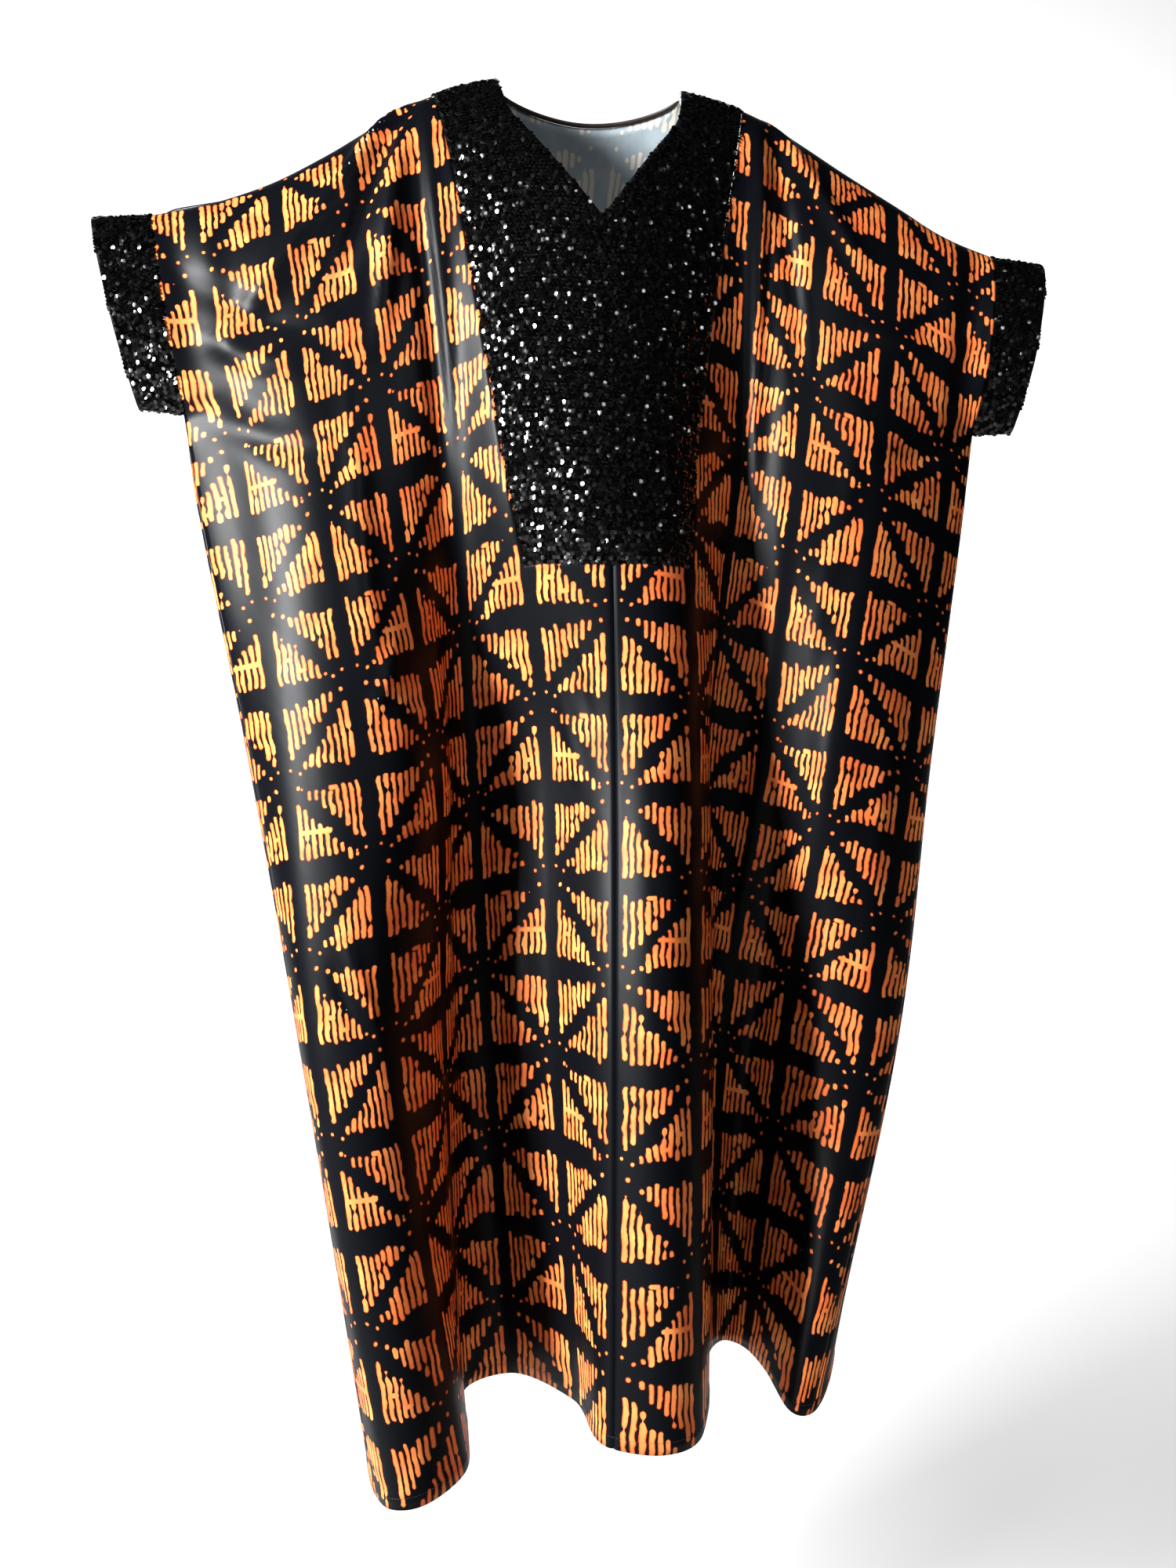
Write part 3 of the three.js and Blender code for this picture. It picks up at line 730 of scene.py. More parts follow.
def dash_print_group():
    """The print as masks over the cloth coordinates: 1 inside a dash, 1 on and inside its outline, and
    1 well inside a dash."""
    tree, given, put = shader_group(
        "Dash print", [("Shift Across", 0.0), ("Shift Up", 0.0)], ["Dash", "Outline", "Depth"])
    across, up, _ = split(given["Vector"])
    across = (across + given["Shift Across"]) * (1 / MM)
    up = (up + given["Shift Up"]) * (1 / MM) - PRINT_FIRST_ROW
    column = (across / PRINT_PITCH).floor()
    row = (up / PRINT_PITCH).floor()
    margin = (PRINT_PITCH - PRINT_SQUARE) / 2
    x = across - column * PRINT_PITCH - margin
    y = up - row * PRINT_PITCH - margin
    mirrored = (column + row) % 2.0
    x = x + mirrored * ((PRINT_SQUARE - x) - x)
    kind = (row + column * 2.0) % 4.0
    own = (column % 2.0) * 4.0 + row % 4.0

    wobble = vector(x * 0.5, y, own * 31.0)
    x = x + noise(wobble, 0.05, 2.0) * DASH_SWAY
    pitch = PRINT_SQUARE / PRINT_DASHES
    dash = (x / pitch).floor().larger(0.0).smaller(PRINT_DASHES - 1.0)
    middle = (dash + 0.5) * pitch
    first, second, third = chances(vector(dash, own, 0.0))
    fourth, fifth, sixth = chances(vector(dash, own, 7.0))

    half = noise(wobble, 0.1, 2.0) * DASH_SWELL + DASH_HALF + (fifth - 0.5) * DASH_VARIETY
    away = (y - (fourth * PINCH_RANGE + PINCH_FROM)) / PINCH_LENGTH
    pinch = (away * away * -1.0).math("EXPONENT") * (fifth > PINCH_ABOVE)
    half = half - pinch * PINCH_DEPTH

    edge = noise(wobble, 0.035, 1.0) * EDGE_WAVE
    above = middle + DIAGONAL_HALF + (first - 0.5) * CUT_VARIETY
    below = middle - DIAGONAL_HALF + (sixth - 0.5) * CUT_VARIETY
    top = edge + PRINT_SQUARE - second * EDGE_VARIETY
    bottom = edge + third * EDGE_VARIETY
    shape = upright(x, y, middle, above, top, half)
    shape = shape.smaller(upright(x, y, middle, bottom, below, half))

    wave = y + noise(wobble, 0.06) * BAR_WAVE
    for bars, absent in ((COMB_BARS, kind > 0.5), (FORK_BARS, abs(kind - 2.0))):
        one, two = (level_bar(x, wave, *row) for row in bars)
        shape = shape.smaller(one.smaller(two) + absent * FAR)
    for place_x, place_y, radius in DOTS:
        shape = shape.smaller(distance(x - place_x, y - place_y) - radius)
    edges = {"Dash": (0.2, -0.2), "Outline": (EDGE_LINE + 0.3, EDGE_LINE - 0.3), "Depth": (0.0, -1.7)}
    set_inputs(put, {label: ramp(shape, low, high) for label, (low, high) in edges.items()})
    return tree


def cloth_relief_group():
    """Soft creases and the fine satin weave, as one height over the cloth coordinates."""
    tree, given, put = shader_group("Cloth relief", [("Crease", 1.0), ("Weave", 1.0)], ["Height", "Wear"])
    across, up, _ = split(given["Vector"])
    long = noise(vector(across * 3.0, up * 0.8, 0.0), 5.0, 2.0)
    slanted = noise(vector(across + up * 0.6, up * 0.5, 3.0), 16.0, 3.0)
    creases = long + slanted * 0.5
    threads = noise(vector(across, up * 0.2, 9.0), WEAVE_SCALE)
    height = creases * given["Crease"] + threads * given["Weave"] * WEAVE_SHARE
    set_inputs(put, {"Height": height, "Wear": creases + 0.5})
    return tree


EFFECTS = {"Dash print": dash_print_group, "Cloth relief": cloth_relief_group}


def use_group(name, place, **values):
    """Puts a shared effect in a material, and gives its outputs by name."""
    group = bpy.data.node_groups.get(name) or EFFECTS[name]()
    inputs = {label.replace("_", " "): value for label, value in values.items()}
    node = add_node(place.tree, "ShaderNodeGroup", {"Vector": place, **inputs}, node_tree=group)
    return {socket.name: Term(socket) for socket in node.outputs}


def new_material(name):
    """A material and its Principled shader."""
    material = bpy.data.materials.new(name)
    material.use_nodes = True
    return material, material.node_tree.nodes["Principled BSDF"]


def cloth_material(name):
    """A material with its Principled shader and the cloth coordinates."""
    material, shader = new_material(name)
    uv = add_node(material.node_tree, "ShaderNodeUVMap", uv_map="cloth")
    return material, shader, Term(uv.outputs["UV"])


def bump(shader, height, strength, depth):
    """Small relief on a shader; depth is in metres."""
    inputs = {"Strength": strength, "Distance": depth, "Height": height}
    connect(add_node(shader.id_data, "ShaderNodeBump", inputs).outputs["Normal"], shader.inputs["Normal"])


def colour(values):
    return tuple(values) + (1.0,)


def grey(value):
    return colour((value, value, value))


def printed_satin(look, name, shift):
    """The outer face of the satin: dark ground, orange dashes with a thin dark red outline."""
    material, shader, uv = cloth_material(name)
    masks = use_group("Dash print", uv, Shift_Across=shift[0], Shift_Up=shift[1])
    folds = use_group("Cloth relief", uv)
    patches = ramp(noise(uv, 30.0, 3.0) + 0.5, 0.33, 0.82)
    dash = blend(masks["Depth"], colour(look.dash_edge), colour(look.dash))
    dash = blend(patches, dash, colour(look.dash_light))
    ground = blend(masks["Outline"], colour(look.ground), colour(look.outline))
    set_inputs(shader, {
        "Base Color": blend(masks["Dash"], ground, dash),
        "Roughness": folds["Wear"] * 0.08 + look.satin_roughness,
        "Specular IOR Level": SATIN_SPECULAR,
    })
    bump(shader, folds["Height"], 0.55, 0.0022)
    return material


def satin_reverse(look, name, shift):
    """The pale reverse, where the print shows through faintly."""
    material, shader, uv = cloth_material(name)
    masks = use_group("Dash print", uv, Shift_Across=shift[0], Shift_Up=shift[1])
    folds = use_group("Cloth relief", uv)
    mottle = ramp(noise(uv, 45.0, 4.0), -0.25, 0.3)
    ground = blend(mottle, colour(look.reverse), colour(look.reverse_light))
    set_inputs(shader, {
        "Base Color": blend(masks["Dash"] * GHOST_SHARE, ground, colour(look.ghost)),
        "Roughness": mottle * 0.1 + 0.5,
    })
    bump(shader, folds["Height"], 0.5, 0.002)
    return material


def dark_knit():
    """The stretch base under the sequins."""
    material, shader, uv = cloth_material("sequin base")
    folds = use_group("Cloth relief", uv, Weave=8.0)
    knit = ramp(noise(uv, 900.0), -0.3, 0.3)
    set_inputs(shader, {
        "Base Color": blend(knit, grey(0.0004), grey(0.002)),
        "Roughness": 0.8,
        "Specular IOR Level": 0.15,
    })
    bump(shader, folds["Height"], 0.4, 0.001)
    return material


def sequin_gloss():
    """Black plastic sequins: each has its own shade and gloss."""
    material, shader = new_material("sequin gloss")
    own = add_node(material.node_tree, "ShaderNodeAttribute", attribute_name="shade")
    share = Term(own.outputs["Fac"])
    set_inputs(shader, {
        "Base Color": blend(share, grey(0.0003), (0.002, 0.002, 0.0022, 1)),
        "Roughness": share * 0.14 + 0.08,
        "Specular IOR Level": 0.5,
    })
    return material


def binding_satin(look):
    """The bias binding at the back of the neck."""
    material, shader, uv = cloth_material("binding satin")
    folds = use_group("Cloth relief", uv, Crease=2.0, Weave=3.0)
    mottle = ramp(noise(uv, 260.0, 3.0), -0.3, 0.3)
    set_inputs(shader, {
        "Base Color": blend(mottle, colour(look.binding), (0.035, 0.022, 0.018, 1)),
        "Roughness": 0.5,
    })
    bump(shader, folds["Height"], 0.6, 0.001)
    return material


def thread_material():
    """Dark sewing thread, twisted."""
    material, shader = new_material("thread")
    place = Term(material.node_tree.nodes.new("ShaderNodeTexCoord").outputs["Object"])
    twist = ramp(noise(place, 1500.0), -0.25, 0.25)
    dark = blend(twist, (0.006, 0.006, 0.008, 1), (0.03, 0.028, 0.03, 1))
    set_inputs(shader, {"Base Color": dark, "Roughness": 0.55})
    return material


class KaftanLook(bpy.types.PropertyGroup):
    """Colours and gloss of the cloths."""
    ground: bpy.props.FloatVectorProperty(
        name="Ground", description="Ground colour of the printed satin", subtype="COLOR",
        default=(0.0018, 0.0022, 0.0034), min=0, max=1)
    dash: bpy.props.FloatVectorProperty(
        name="Dash", description="Colour of the printed dashes", subtype="COLOR",
        default=(0.80, 0.18, 0.05), min=0, max=1)
    dash_light: bpy.props.FloatVectorProperty(
        name="Dash light", description="Colour of the paler patches of the dashes", subtype="COLOR",
        default=(0.90, 0.32, 0.09), min=0, max=1)
    dash_edge: bpy.props.FloatVectorProperty(
        name="Dash edge", description="Colour of a dash beside its outline", subtype="COLOR",
        default=(0.58, 0.09, 0.02), min=0, max=1)
    outline: bpy.props.FloatVectorProperty(
        name="Outline", description="Colour of the line round each dash", subtype="COLOR",
        default=(0.045, 0.004, 0.002), min=0, max=1)
    reverse: bpy.props.FloatVectorProperty(
        name="Reverse", description="Darker patches of the reverse", subtype="COLOR",
        default=(0.32, 0.39, 0.44), min=0, max=1)
    reverse_light: bpy.props.FloatVectorProperty(
        name="Reverse light", description="Paler patches of the reverse", subtype="COLOR",
        default=(0.45, 0.52, 0.56), min=0, max=1)
    ghost: bpy.props.FloatVectorProperty(
        name="Ghost", description="Colour of the dashes that show through on the reverse", subtype="COLOR",
        default=(0.86, 0.74, 0.60), min=0, max=1)
    binding: bpy.props.FloatVectorProperty(
        name="Binding", description="Colour of the neck binding", subtype="COLOR",
        default=(0.012, 0.008, 0.007), min=0, max=1)
    satin_roughness: bpy.props.FloatProperty(
        name="Satin roughness", description="Roughness of the printed satin", default=0.34, min=0, max=1)


class KaftanSequins(bpy.types.PropertyGroup):
    """Size and spacing of the sequins and the hem stitches."""
    pitch: bpy.props.FloatProperty(
        name="Pitch", description="Distance between sequins", default=0.0041,
        min=0.002, max=0.02, subtype="DISTANCE", unit="LENGTH")
    radius: bpy.props.FloatProperty(
        name="Radius", description="Radius of a sequin", default=0.00245,
        min=0.001, max=0.01, subtype="DISTANCE", unit="LENGTH")
    dome: bpy.props.FloatProperty(
        name="Dome", description="Height of a sequin's middle over its rim", default=0.00015,
        min=0, max=0.002, subtype="DISTANCE", unit="LENGTH")
    lift: bpy.props.FloatProperty(
        name="Lift", description="Height of the sequins over their cloth", default=0.0009,
        min=0, max=0.003, subtype="DISTANCE", unit="LENGTH")
    tilt: bpy.props.FloatProperty(
        name="Tilt", description="Largest random tilt of a sequin", default=math.radians(27),
        min=0, max=1, subtype="ANGLE", unit="ROTATION")
    stitch: bpy.props.FloatProperty(
        name="Stitch", description="Distance between hem stitches", default=0.0036,
        min=0.002, max=0.02, subtype="DISTANCE", unit="LENGTH")
    seed: bpy.props.IntProperty(name="Seed", description="Seed of the random values", default=7)


class KaftanStage(bpy.types.PropertyGroup):
    """Camera and lights."""
    azimuth: bpy.props.FloatProperty(
        name="Azimuth", description="Turn of the camera round the dress",
        default=math.radians(CAMERA_AZIMUTH), subtype="ANGLE", unit="ROTATION")
    distance: bpy.props.FloatProperty(
        name="Distance", description="Distance of the camera from the middle line", default=CAMERA_DISTANCE,
        min=0.5, max=10, subtype="DISTANCE", unit="LENGTH")
    height: bpy.props.FloatProperty(
        name="Height", description="Height of the camera", default=CAMERA_HEIGHT,
        subtype="DISTANCE", unit="LENGTH")
    key: bpy.props.FloatProperty(
        name="Key", description="Power of the key light", default=300, min=0, unit="POWER")
    surround: bpy.props.FloatProperty(
        name="Surround", description="Strength of the light from all round", default=0.02, min=0)


def edge_steps(width, size, at_end=True):
    """Shares from 0 to 1 across a strip, one size apart, with fine steps at the seam."""
    fine = 1 - np.array(SEAM_STEPS) / width
    shares = np.concatenate([steps(0, fine[0], size / width)[:-1], fine])
    return shares if at_end else 1 - shares[::-1]


def front_sheet(sign):
    """One printed front: the wing beside the yoke, the side under it and the skirt to the centre seam."""
    top = YOKE_BOTTOM + HALF_SEAM
    wing_width = HALF_WIDTH - YOKE_BOTTOM_HALF
    columns = edge_steps(wing_width, SHELL_STEP_ACROSS)
    rows = edge_steps(CLOTH_LENGTH - top, SHELL_STEP_DOWN, at_end=False)

    def cloth_at(level, u):
        return mix(sign * (HALF_WIDTH - HALF_SEAM), sign * (yoke_half(level) + HALF_SEAM), u)

    def wing(v, u):
        cloth = cloth_at(YOKE_BOTTOM * v, u)
        return cloth, mix(shoulder_cut(cloth) + SHOULDER_SEAM, top, v)

    def side(v, u):
        return cloth_at(YOKE_BOTTOM, u), mix(top, CLOTH_LENGTH, v)

    def skirt(v, u):
        return mix(cloth_at(YOKE_BOTTOM, 1), sign * HALF_SEAM, u), mix(top, CLOTH_LENGTH, v)

    upper_rows = steps(0, 1, SHELL_STEP_DOWN / YOKE_BOTTOM)
    skirt_columns = edge_steps(YOKE_BOTTOM_HALF, SHELL_STEP_ACROSS)
    parts = grid(upper_rows, columns, wing), grid(rows, columns, side), grid(rows, skirt_columns, skirt)
    return sheet(1, *parts)


def back_sheet():
    """The back in one panel, from side seam to side seam."""
    neck = NECK_HALF * np.sin(math.pi / 2 * steps(0, 1, 1 / NECK_COLUMNS))
    wing = steps(NECK_HALF, HALF_WIDTH - HALF_SEAM, SHELL_STEP_ACROSS)[1:]
    half = np.concatenate([neck, wing])
    columns = np.concatenate([-half[:0:-1], half])
    middle = YOKE_BOTTOM + HALF_SEAM

    def upper(v, cloth):
        top = np.maximum(back_neck(cloth), shoulder_cut(cloth)) + SHOULDER_SEAM
        return cloth, mix(top, middle, v)

    def lower(v, cloth):
        return cloth, mix(middle, CLOTH_LENGTH, v)

    upper_rows = steps(0, 1, SHELL_STEP_DOWN / YOKE_BOTTOM)
    lower_rows = steps(0, 1, SHELL_STEP_DOWN / (CLOTH_LENGTH - YOKE_BOTTOM))
    return sheet(-1, grid(upper_rows, columns, upper), grid(lower_rows, columns, lower))


def yoke_sheet():
    """The tapered panel with the V neck; its columns turn at the neck points."""
    neck = NECK_HALF / YOKE_TOP_HALF

    def place(v, u):
        step = 2 * np.abs(2 * u - 1)
        near = np.sin(math.pi / 2 * np.minimum(step, 1))
        share = np.where(step <= 1, near * neck, mix(neck, 1, step - 1))
        shoulder = shoulder_cut(share * YOKE_TOP_HALF) + SHOULDER_SEAM
        top = np.where(step <= 1, np.maximum(front_neck(near), shoulder), shoulder)
        down = mix(top, YOKE_BOTTOM - HALF_SEAM, v)
        return np.sign(2 * u - 1) * share * (yoke_half(down) - HALF_SEAM), down

    return sheet(1, grid(steps(0, 1, 1 / YOKE_ROWS), steps(0, 1, 1 / YOKE_COLUMNS), place))


def cuff_length():
    return 2 * ROLL_AT_SLEEVE * (ROLL_ARC[-1] + SLEEVE_OPENING / ROLL_AT_SLEEVE - 1)


def opening_point(sign, around):
    """A point of the sleeve opening; around runs down the front edge and up the back edge."""
    cloth = np.full_like(around, sign * HALF_WIDTH)
    half = cuff_length() / 2
    start = shoulder_cut(cloth)
    front = surface(1, cloth, start + np.minimum(around, half))
    back = surface(-1, cloth, start + np.minimum(2 * half - around, half))
    return np.where((around <= half)[:, None], front, back)


def cuff_spot(sign, around, share):
    """A point of the cuff and its outward direction; share is 0 at the sleeve and 1 at the open end."""
    length = cuff_length()
    around = np.mod(around, length)
    point = opening_point(sign, around)
    low = (opening_point(sign, np.zeros(1))[0, 2] - point[:, 2]) / SLEEVE_OPENING
    width = mix(CUFF_TOP_WIDTH, CUFF_BOTTOM_WIDTH, low)
    reach = np.mod(around + CUFF_REACH, length), np.mod(around - CUFF_REACH, length)
    along = opening_point(sign, reach[0]) - opening_point(sign, reach[1])
    normal = np.cross(along, (1, 0, 0))
    normal[:, 0] = 0
    normal = unit(normal)
    point[:, 0] += sign * mix(HALF_SEAM, width, share)
    point[:, 2] += mix(-CUFF_TOP_DROP, CUFF_BOTTOM_LIFT, low) * share
    return point, normal, width


def ring_quads(rows, count):
    """Quads of a tube: rows of count points, each row closed on itself."""
    index = np.arange(rows * count).reshape(rows, count)
    after = np.roll(index, -1, axis=1)
    corners = (index[:-1], index[1:], after[1:], after[:-1])
    return np.stack([corner.ravel() for corner in corners], axis=1)


def cuff_shell(sign):
    """One cuff as a closed band all round the sleeve opening."""
    length = cuff_length()
    count = int(length / CUFF_STEP)
    shares = steps(0, 1, 1 / CUFF_ROWS)
    share, around = np.meshgrid(shares, np.arange(count) * length / count, indexing="ij")
    point, normal, width = cuff_spot(sign, around.ravel(), share.ravel())
    quads = facing(point, normal, ring_quads(len(shares), count))
    uv = np.stack([around.ravel(), share.ravel() * width], axis=1)
    return shell(point, normal, quads, uv, SHELL_WALL)


def binding_shell():
    """The neck binding as a soft roll on the back neck edge, closed at both ends."""
    angles = steps(-math.pi / 2, math.pi / 2, math.pi / BINDING_STEPS)
    cloth = BINDING_HALF * np.sin(angles)

    def middle(place):
        return back_neck(place) - BINDING_HEIGHT / 2

    centre = surface(-1, cloth, middle(cloth))
    normal = face_normal(-1, cloth, middle(cloth))
    across = surface(-1, cloth + NORMAL_STEP, middle(cloth + NORMAL_STEP)) - centre
    up = unit(np.cross(normal, across))
    centre = centre - normal * BINDING_WALL / 2
    turns = np.arange(BINDING_SIDES) * 2 * math.pi / BINDING_SIDES
    taper = np.sqrt(np.maximum(1 - np.sin(angles) ** BINDING_TAPER, 0))
    pucker = 1 + PUCKER_DEPTH * np.sin(cloth * PUCKER_WAVES)
    thick = (taper * pucker * BINDING_WALL / 2)[:, None, None]
    high = (taper * BINDING_HEIGHT / 2)[:, None, None]
    rings = np.cos(turns)[:, None] * normal[:, None] * thick + np.sin(turns)[:, None] * up[:, None] * high
    rings += centre[:, None]
    rings[[0, -1]] = centre[[0, -1], None]
    points = rings.reshape(-1, 3)
    out = (rings - centre[:, None]).reshape(-1, 3)
    quads = ring_quads(len(cloth), BINDING_SIDES)
    out[:BINDING_SIDES] = out[BINDING_SIDES:2 * BINDING_SIDES]
    quads = facing(points, out, quads)
    girth = np.tile(turns * BINDING_WALL / 2, len(cloth))
    uv = np.stack([np.repeat(cloth, BINDING_SIDES), girth], axis=1)
    ends = np.arange(len(points))
    ends[:BINDING_SIDES] = 0
    ends[-BINDING_SIDES:] = len(points) - BINDING_SIDES
    return points, ends[quads], np.zeros(len(quads), int), uv


def site_object(name, points, normals, axis):
    """A mesh of loose points that carry the direction each face turns to and one along the cloth."""
    mesh = bpy.data.meshes.new(name)
    mesh.from_pydata((points * MM).tolist(), [], [])
    for label, values in (("facing", normals), ("along", axis)):
        layer = mesh.attributes.new(label, "FLOAT_VECTOR", "POINT")
        layer.data.foreach_set("vector", values.astype(np.float32).ravel())
    return add_object(name, mesh)


def align(tree, label, axis, **more):
    """A rotation that turns an axis to the direction that the points carry under this name."""
    own = add_node(tree, "GeometryNodeInputNamedAttribute", {"Name": label}, data_type="FLOAT_VECTOR")
    inputs = {"Vector": own.outputs[0]}
    return add_node(tree, "FunctionNodeAlignRotationToVector", inputs, axis=axis, **more)


def random_value(kind, low, high, seed, offset):
    """A random value for each point. Draws of one tree differ by the offset."""
    node = add_node(seed.tree, "FunctionNodeRandomValue", {"Seed": seed + offset}, data_type=kind)
    sockets = [socket for socket in node.inputs if socket.enabled]
    connect(low, sockets[0])
    connect(high, sockets[1])
    return next(socket for socket in node.outputs if socket.enabled)


def repeat_tree(name, make_shape, labels, material):
    """Instances of one shape on loose points: turned, tilted and sized at random, then realised."""
    inputs = [("Geometry", "NodeSocketGeometry", None)]
    inputs += [(label, "NodeSocketFloat", 0.001) for label in labels]
    inputs += [("Tilt", "NodeSocketFloat", 0.1), ("Seed", "NodeSocketInt", 1)]
    tree, given, put = new_group(name, "GeometryNodeTree", inputs, [("Geometry", "NodeSocketGeometry")])
    seed, most = given["Seed"], given["Tilt"]
    least = most * -1.0
    turn = align(tree, "facing", "Z")
    along = align(tree, "along", "X", pivot_axis="Z")
    connect(turn.outputs[0], along.inputs["Rotation"])
    tilt = random_value("FLOAT_VECTOR", vector(least, least, least), vector(most, most, most), seed, 0)
    euler = add_node(tree, "FunctionNodeEulerToRotation", {0: tilt})
    turns = {0: along.outputs[0], 1: euler.outputs[0]}
    both = add_node(tree, "FunctionNodeRotateRotation", turns, rotation_space="LOCAL")
    shape = add_node(tree, "GeometryNodeSetShadeSmooth", {"Geometry": make_shape(tree, given)})
    place = add_node(tree, "GeometryNodeInstanceOnPoints", {
        "Points": given["Geometry"],
        "Instance": shape.outputs[0],
        "Rotation": both.outputs[0],
        "Scale": random_value("FLOAT", *SIZE_RANGE, seed, 1),
    })
    store = add_node(tree, "GeometryNodeStoreNamedAttribute", data_type="FLOAT", domain="INSTANCE")
    shade = random_value("FLOAT", 0.0, 1.0, seed, 2)
    set_inputs(store, {"Geometry": place.outputs[0], "Name": "shade", "Value": shade})
    real = add_node(tree, "GeometryNodeRealizeInstances", {0: store.outputs[0]})
    paint = add_node(tree, "GeometryNodeSetMaterial", {"Geometry": real.outputs[0], "Material": material})
    connect(paint.outputs[0], put.inputs[0])
    return tree


def sequin_shape(tree, given):
    """A sequin: a shallow dome with eight sides."""
    inputs = {"Vertices": 8, "Radius Top": 0.0, "Radius Bottom": given["Radius"], "Depth": given["Dome"]}
    return add_node(tree, "GeometryNodeMeshCone", inputs, fill_type="NONE").outputs["Mesh"]


def stitch_shape(tree, given):
    """One stitch of thread: a long bead that lies on the cloth."""
    bead = add_node(tree, "GeometryNodeMeshUVSphere", {"Segments": 6, "Rings": 4, "Radius": 1.0})
    size = vector(given["Length"], given["Width"], given["Width"])
    inputs = {"Geometry": bead.outputs["Mesh"], "Scale": size}
    return add_node(tree, "GeometryNodeTransform", inputs).outputs[0]


def repeat_on(name, sites, tree, values):
    """Runs a tree on the sites and keeps the result as a plain mesh object."""
    sockets = {item.name: item.identifier for item in tree.interface.items_tree if item.in_out == "INPUT"}
    modifier = sites.modifiers.new(name, "NODES")
    modifier.node_group = tree
    for label, value in values.items():
        modifier[sockets[label]] = value
    bpy.context.view_layer.update()
    graph = bpy.context.evaluated_depsgraph_get()
    made = sites.evaluated_get(graph)
    mesh = bpy.data.meshes.new_from_object(made, preserve_all_data_layers=True, depsgraph=graph)
    if not mesh.polygons:
        raise RuntimeError(f"{name}: the tree made no faces")
    sites.modifiers.remove(modifier)
    empty = sites.data
    bpy.data.objects.remove(sites)
    bpy.data.meshes.remove(empty)
    mesh.name = name
    return add_object(name, mesh)


def scale_like(normals):
    """Sequins hang from their upper edge, so their lower edge stands off the cloth."""
    return unit(normals + np.array([0, 0, SEQUIN_HANG]))


def lattice(width, height, pitch):
    """Offset rows of places over a rectangle."""
    rows = np.arange(0, height, pitch)
    across = [np.arange(0, width, pitch) + pitch / 2 * (i % 2) for i in range(len(rows))]
    return np.concatenate(across), np.repeat(rows, len(across[0]))


def yoke_sites(options):
    """Points and directions of the yoke's sequins."""
    pitch = options.pitch / MM
    cloth, down = lattice(2 * YOKE_TOP_HALF, YOKE_BOTTOM + pitch / 2, pitch)
    cloth = cloth - YOKE_TOP_HALF
    ragged = np.sin(down * RAGGED_WAVES + np.sign(cloth)) * RAGGED
    inside = np.abs(cloth) < yoke_half(down) + ragged
    share = np.abs(cloth) / NECK_HALF * YOKE_TOP_HALF / yoke_half(down)
    top = np.where(share < 1, front_neck(np.minimum(share, 1)), 0)
    inside &= down > np.maximum(top, shoulder_cut(cloth)) + EDGE_MARGIN
    cloth, down = cloth[inside], down[inside]
    normals = face_normal(1, cloth, down)
    lift = relief(1, cloth, down) + options.lift / MM
    return surface(1, cloth, down) + normals * lift[:, None], scale_like(normals)


def cuff_sites(options, sign):
    """Points and directions of one cuff's sequins."""
    pitch = options.pitch / MM
    length = cuff_length()
    around, up = lattice(length - pitch / 2, CUFF_TOP_WIDTH, pitch)
    _, _, width = cuff_spot(sign, around, np.zeros_like(around))
    inside = up < width - CUFF_MARGIN
    around, share = around[inside], (up / width)[inside]
    points, normals, _ = cuff_spot(sign, around, share)
    return points + normals * options.lift / MM, scale_like(normals)


def add_sequins(context, name, sites):
    """The sequins of one piece."""
    options = context.scene.kaftan_sequins
    points, normals = sites
    tree = bpy.data.node_groups.get("Sequins")
    if not tree:
        tree = repeat_tree("Sequins", sequin_shape, ("Radius", "Dome"), sequin_gloss())
    across = np.tile([1.0, 0.0, 0.0], (len(points), 1))
    values = {"Radius": options.radius, "Dome": options.dome, "Tilt": options.tilt, "Seed": options.seed}
    return repeat_on(name, site_object(name + "_sites", points, normals, across), tree, values)


def add_stitches(context, name, side, low, high):
    """A line of thread along the turned hem of one panel."""
    options = context.scene.kaftan_sequins
    cloth = steps(low, high, options.stitch / MM)
    down = np.full_like(cloth, CLOTH_LENGTH - HEM_TURN + HEM_STITCH_IN)
    normals = face_normal(side, cloth, down)
    height = relief(side, cloth, down) + hem_relief(down)
    points = surface(side, cloth, down) + normals * height[:, None]
    along = surface(side, cloth + NORMAL_STEP, down) - surface(side, cloth - NORMAL_STEP, down)
    tree = bpy.data.node_groups.get("Stitches")
    if not tree:
        tree = repeat_tree("Stitches", stitch_shape, ("Length", "Width"), thread_material())
    values = {
        "Length": options.stitch * STITCH_SHARE,
        "Width": THREAD_HALF * MM,
        "Tilt": STITCH_TILT,
        "Seed": options.seed,
    }
    return repeat_on(name, site_object(name + "_sites", points, normals, along), tree, values)


def finish_piece(piece, node):
    """Ties a piece to the frame in place of its plain solid."""
    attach(piece, "root")
    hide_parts(node)


class PieceOperator(bpy.types.Operator):
    """Shared options of the operators that build a piece."""
    bl_options = {"REGISTER", "UNDO"}


class KAFTAN_OT_fronts(PieceOperator):
    """Builds the two printed fronts with their hem stitches"""
    bl_idname = "kaftan.fronts"
    bl_label = "Fronts"

    def execute(self, context):
        look = context.scene.kaftan_look
        face = printed_satin(look, "printed satin front", FRONT_SHIFT)
        reverse = satin_reverse(look, "satin reverse front", FRONT_SHIFT)
        for name, sign in (("front_left", -1), ("front_right", 1)):
            data = shell(*front_sheet(sign), SHELL_WALL)
            piece = mesh_object(name + "_cloth", data, [face, reverse])
            finish_piece(piece, name)
            low, high = sorted((sign * HALF_SEAM * 8, sign * (HALF_WIDTH - HALF_SEAM * 8)))
            stitches = add_stitches(context, name + "_hem", 1, low, high)
            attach(stitches, "root")
        return {"FINISHED"}


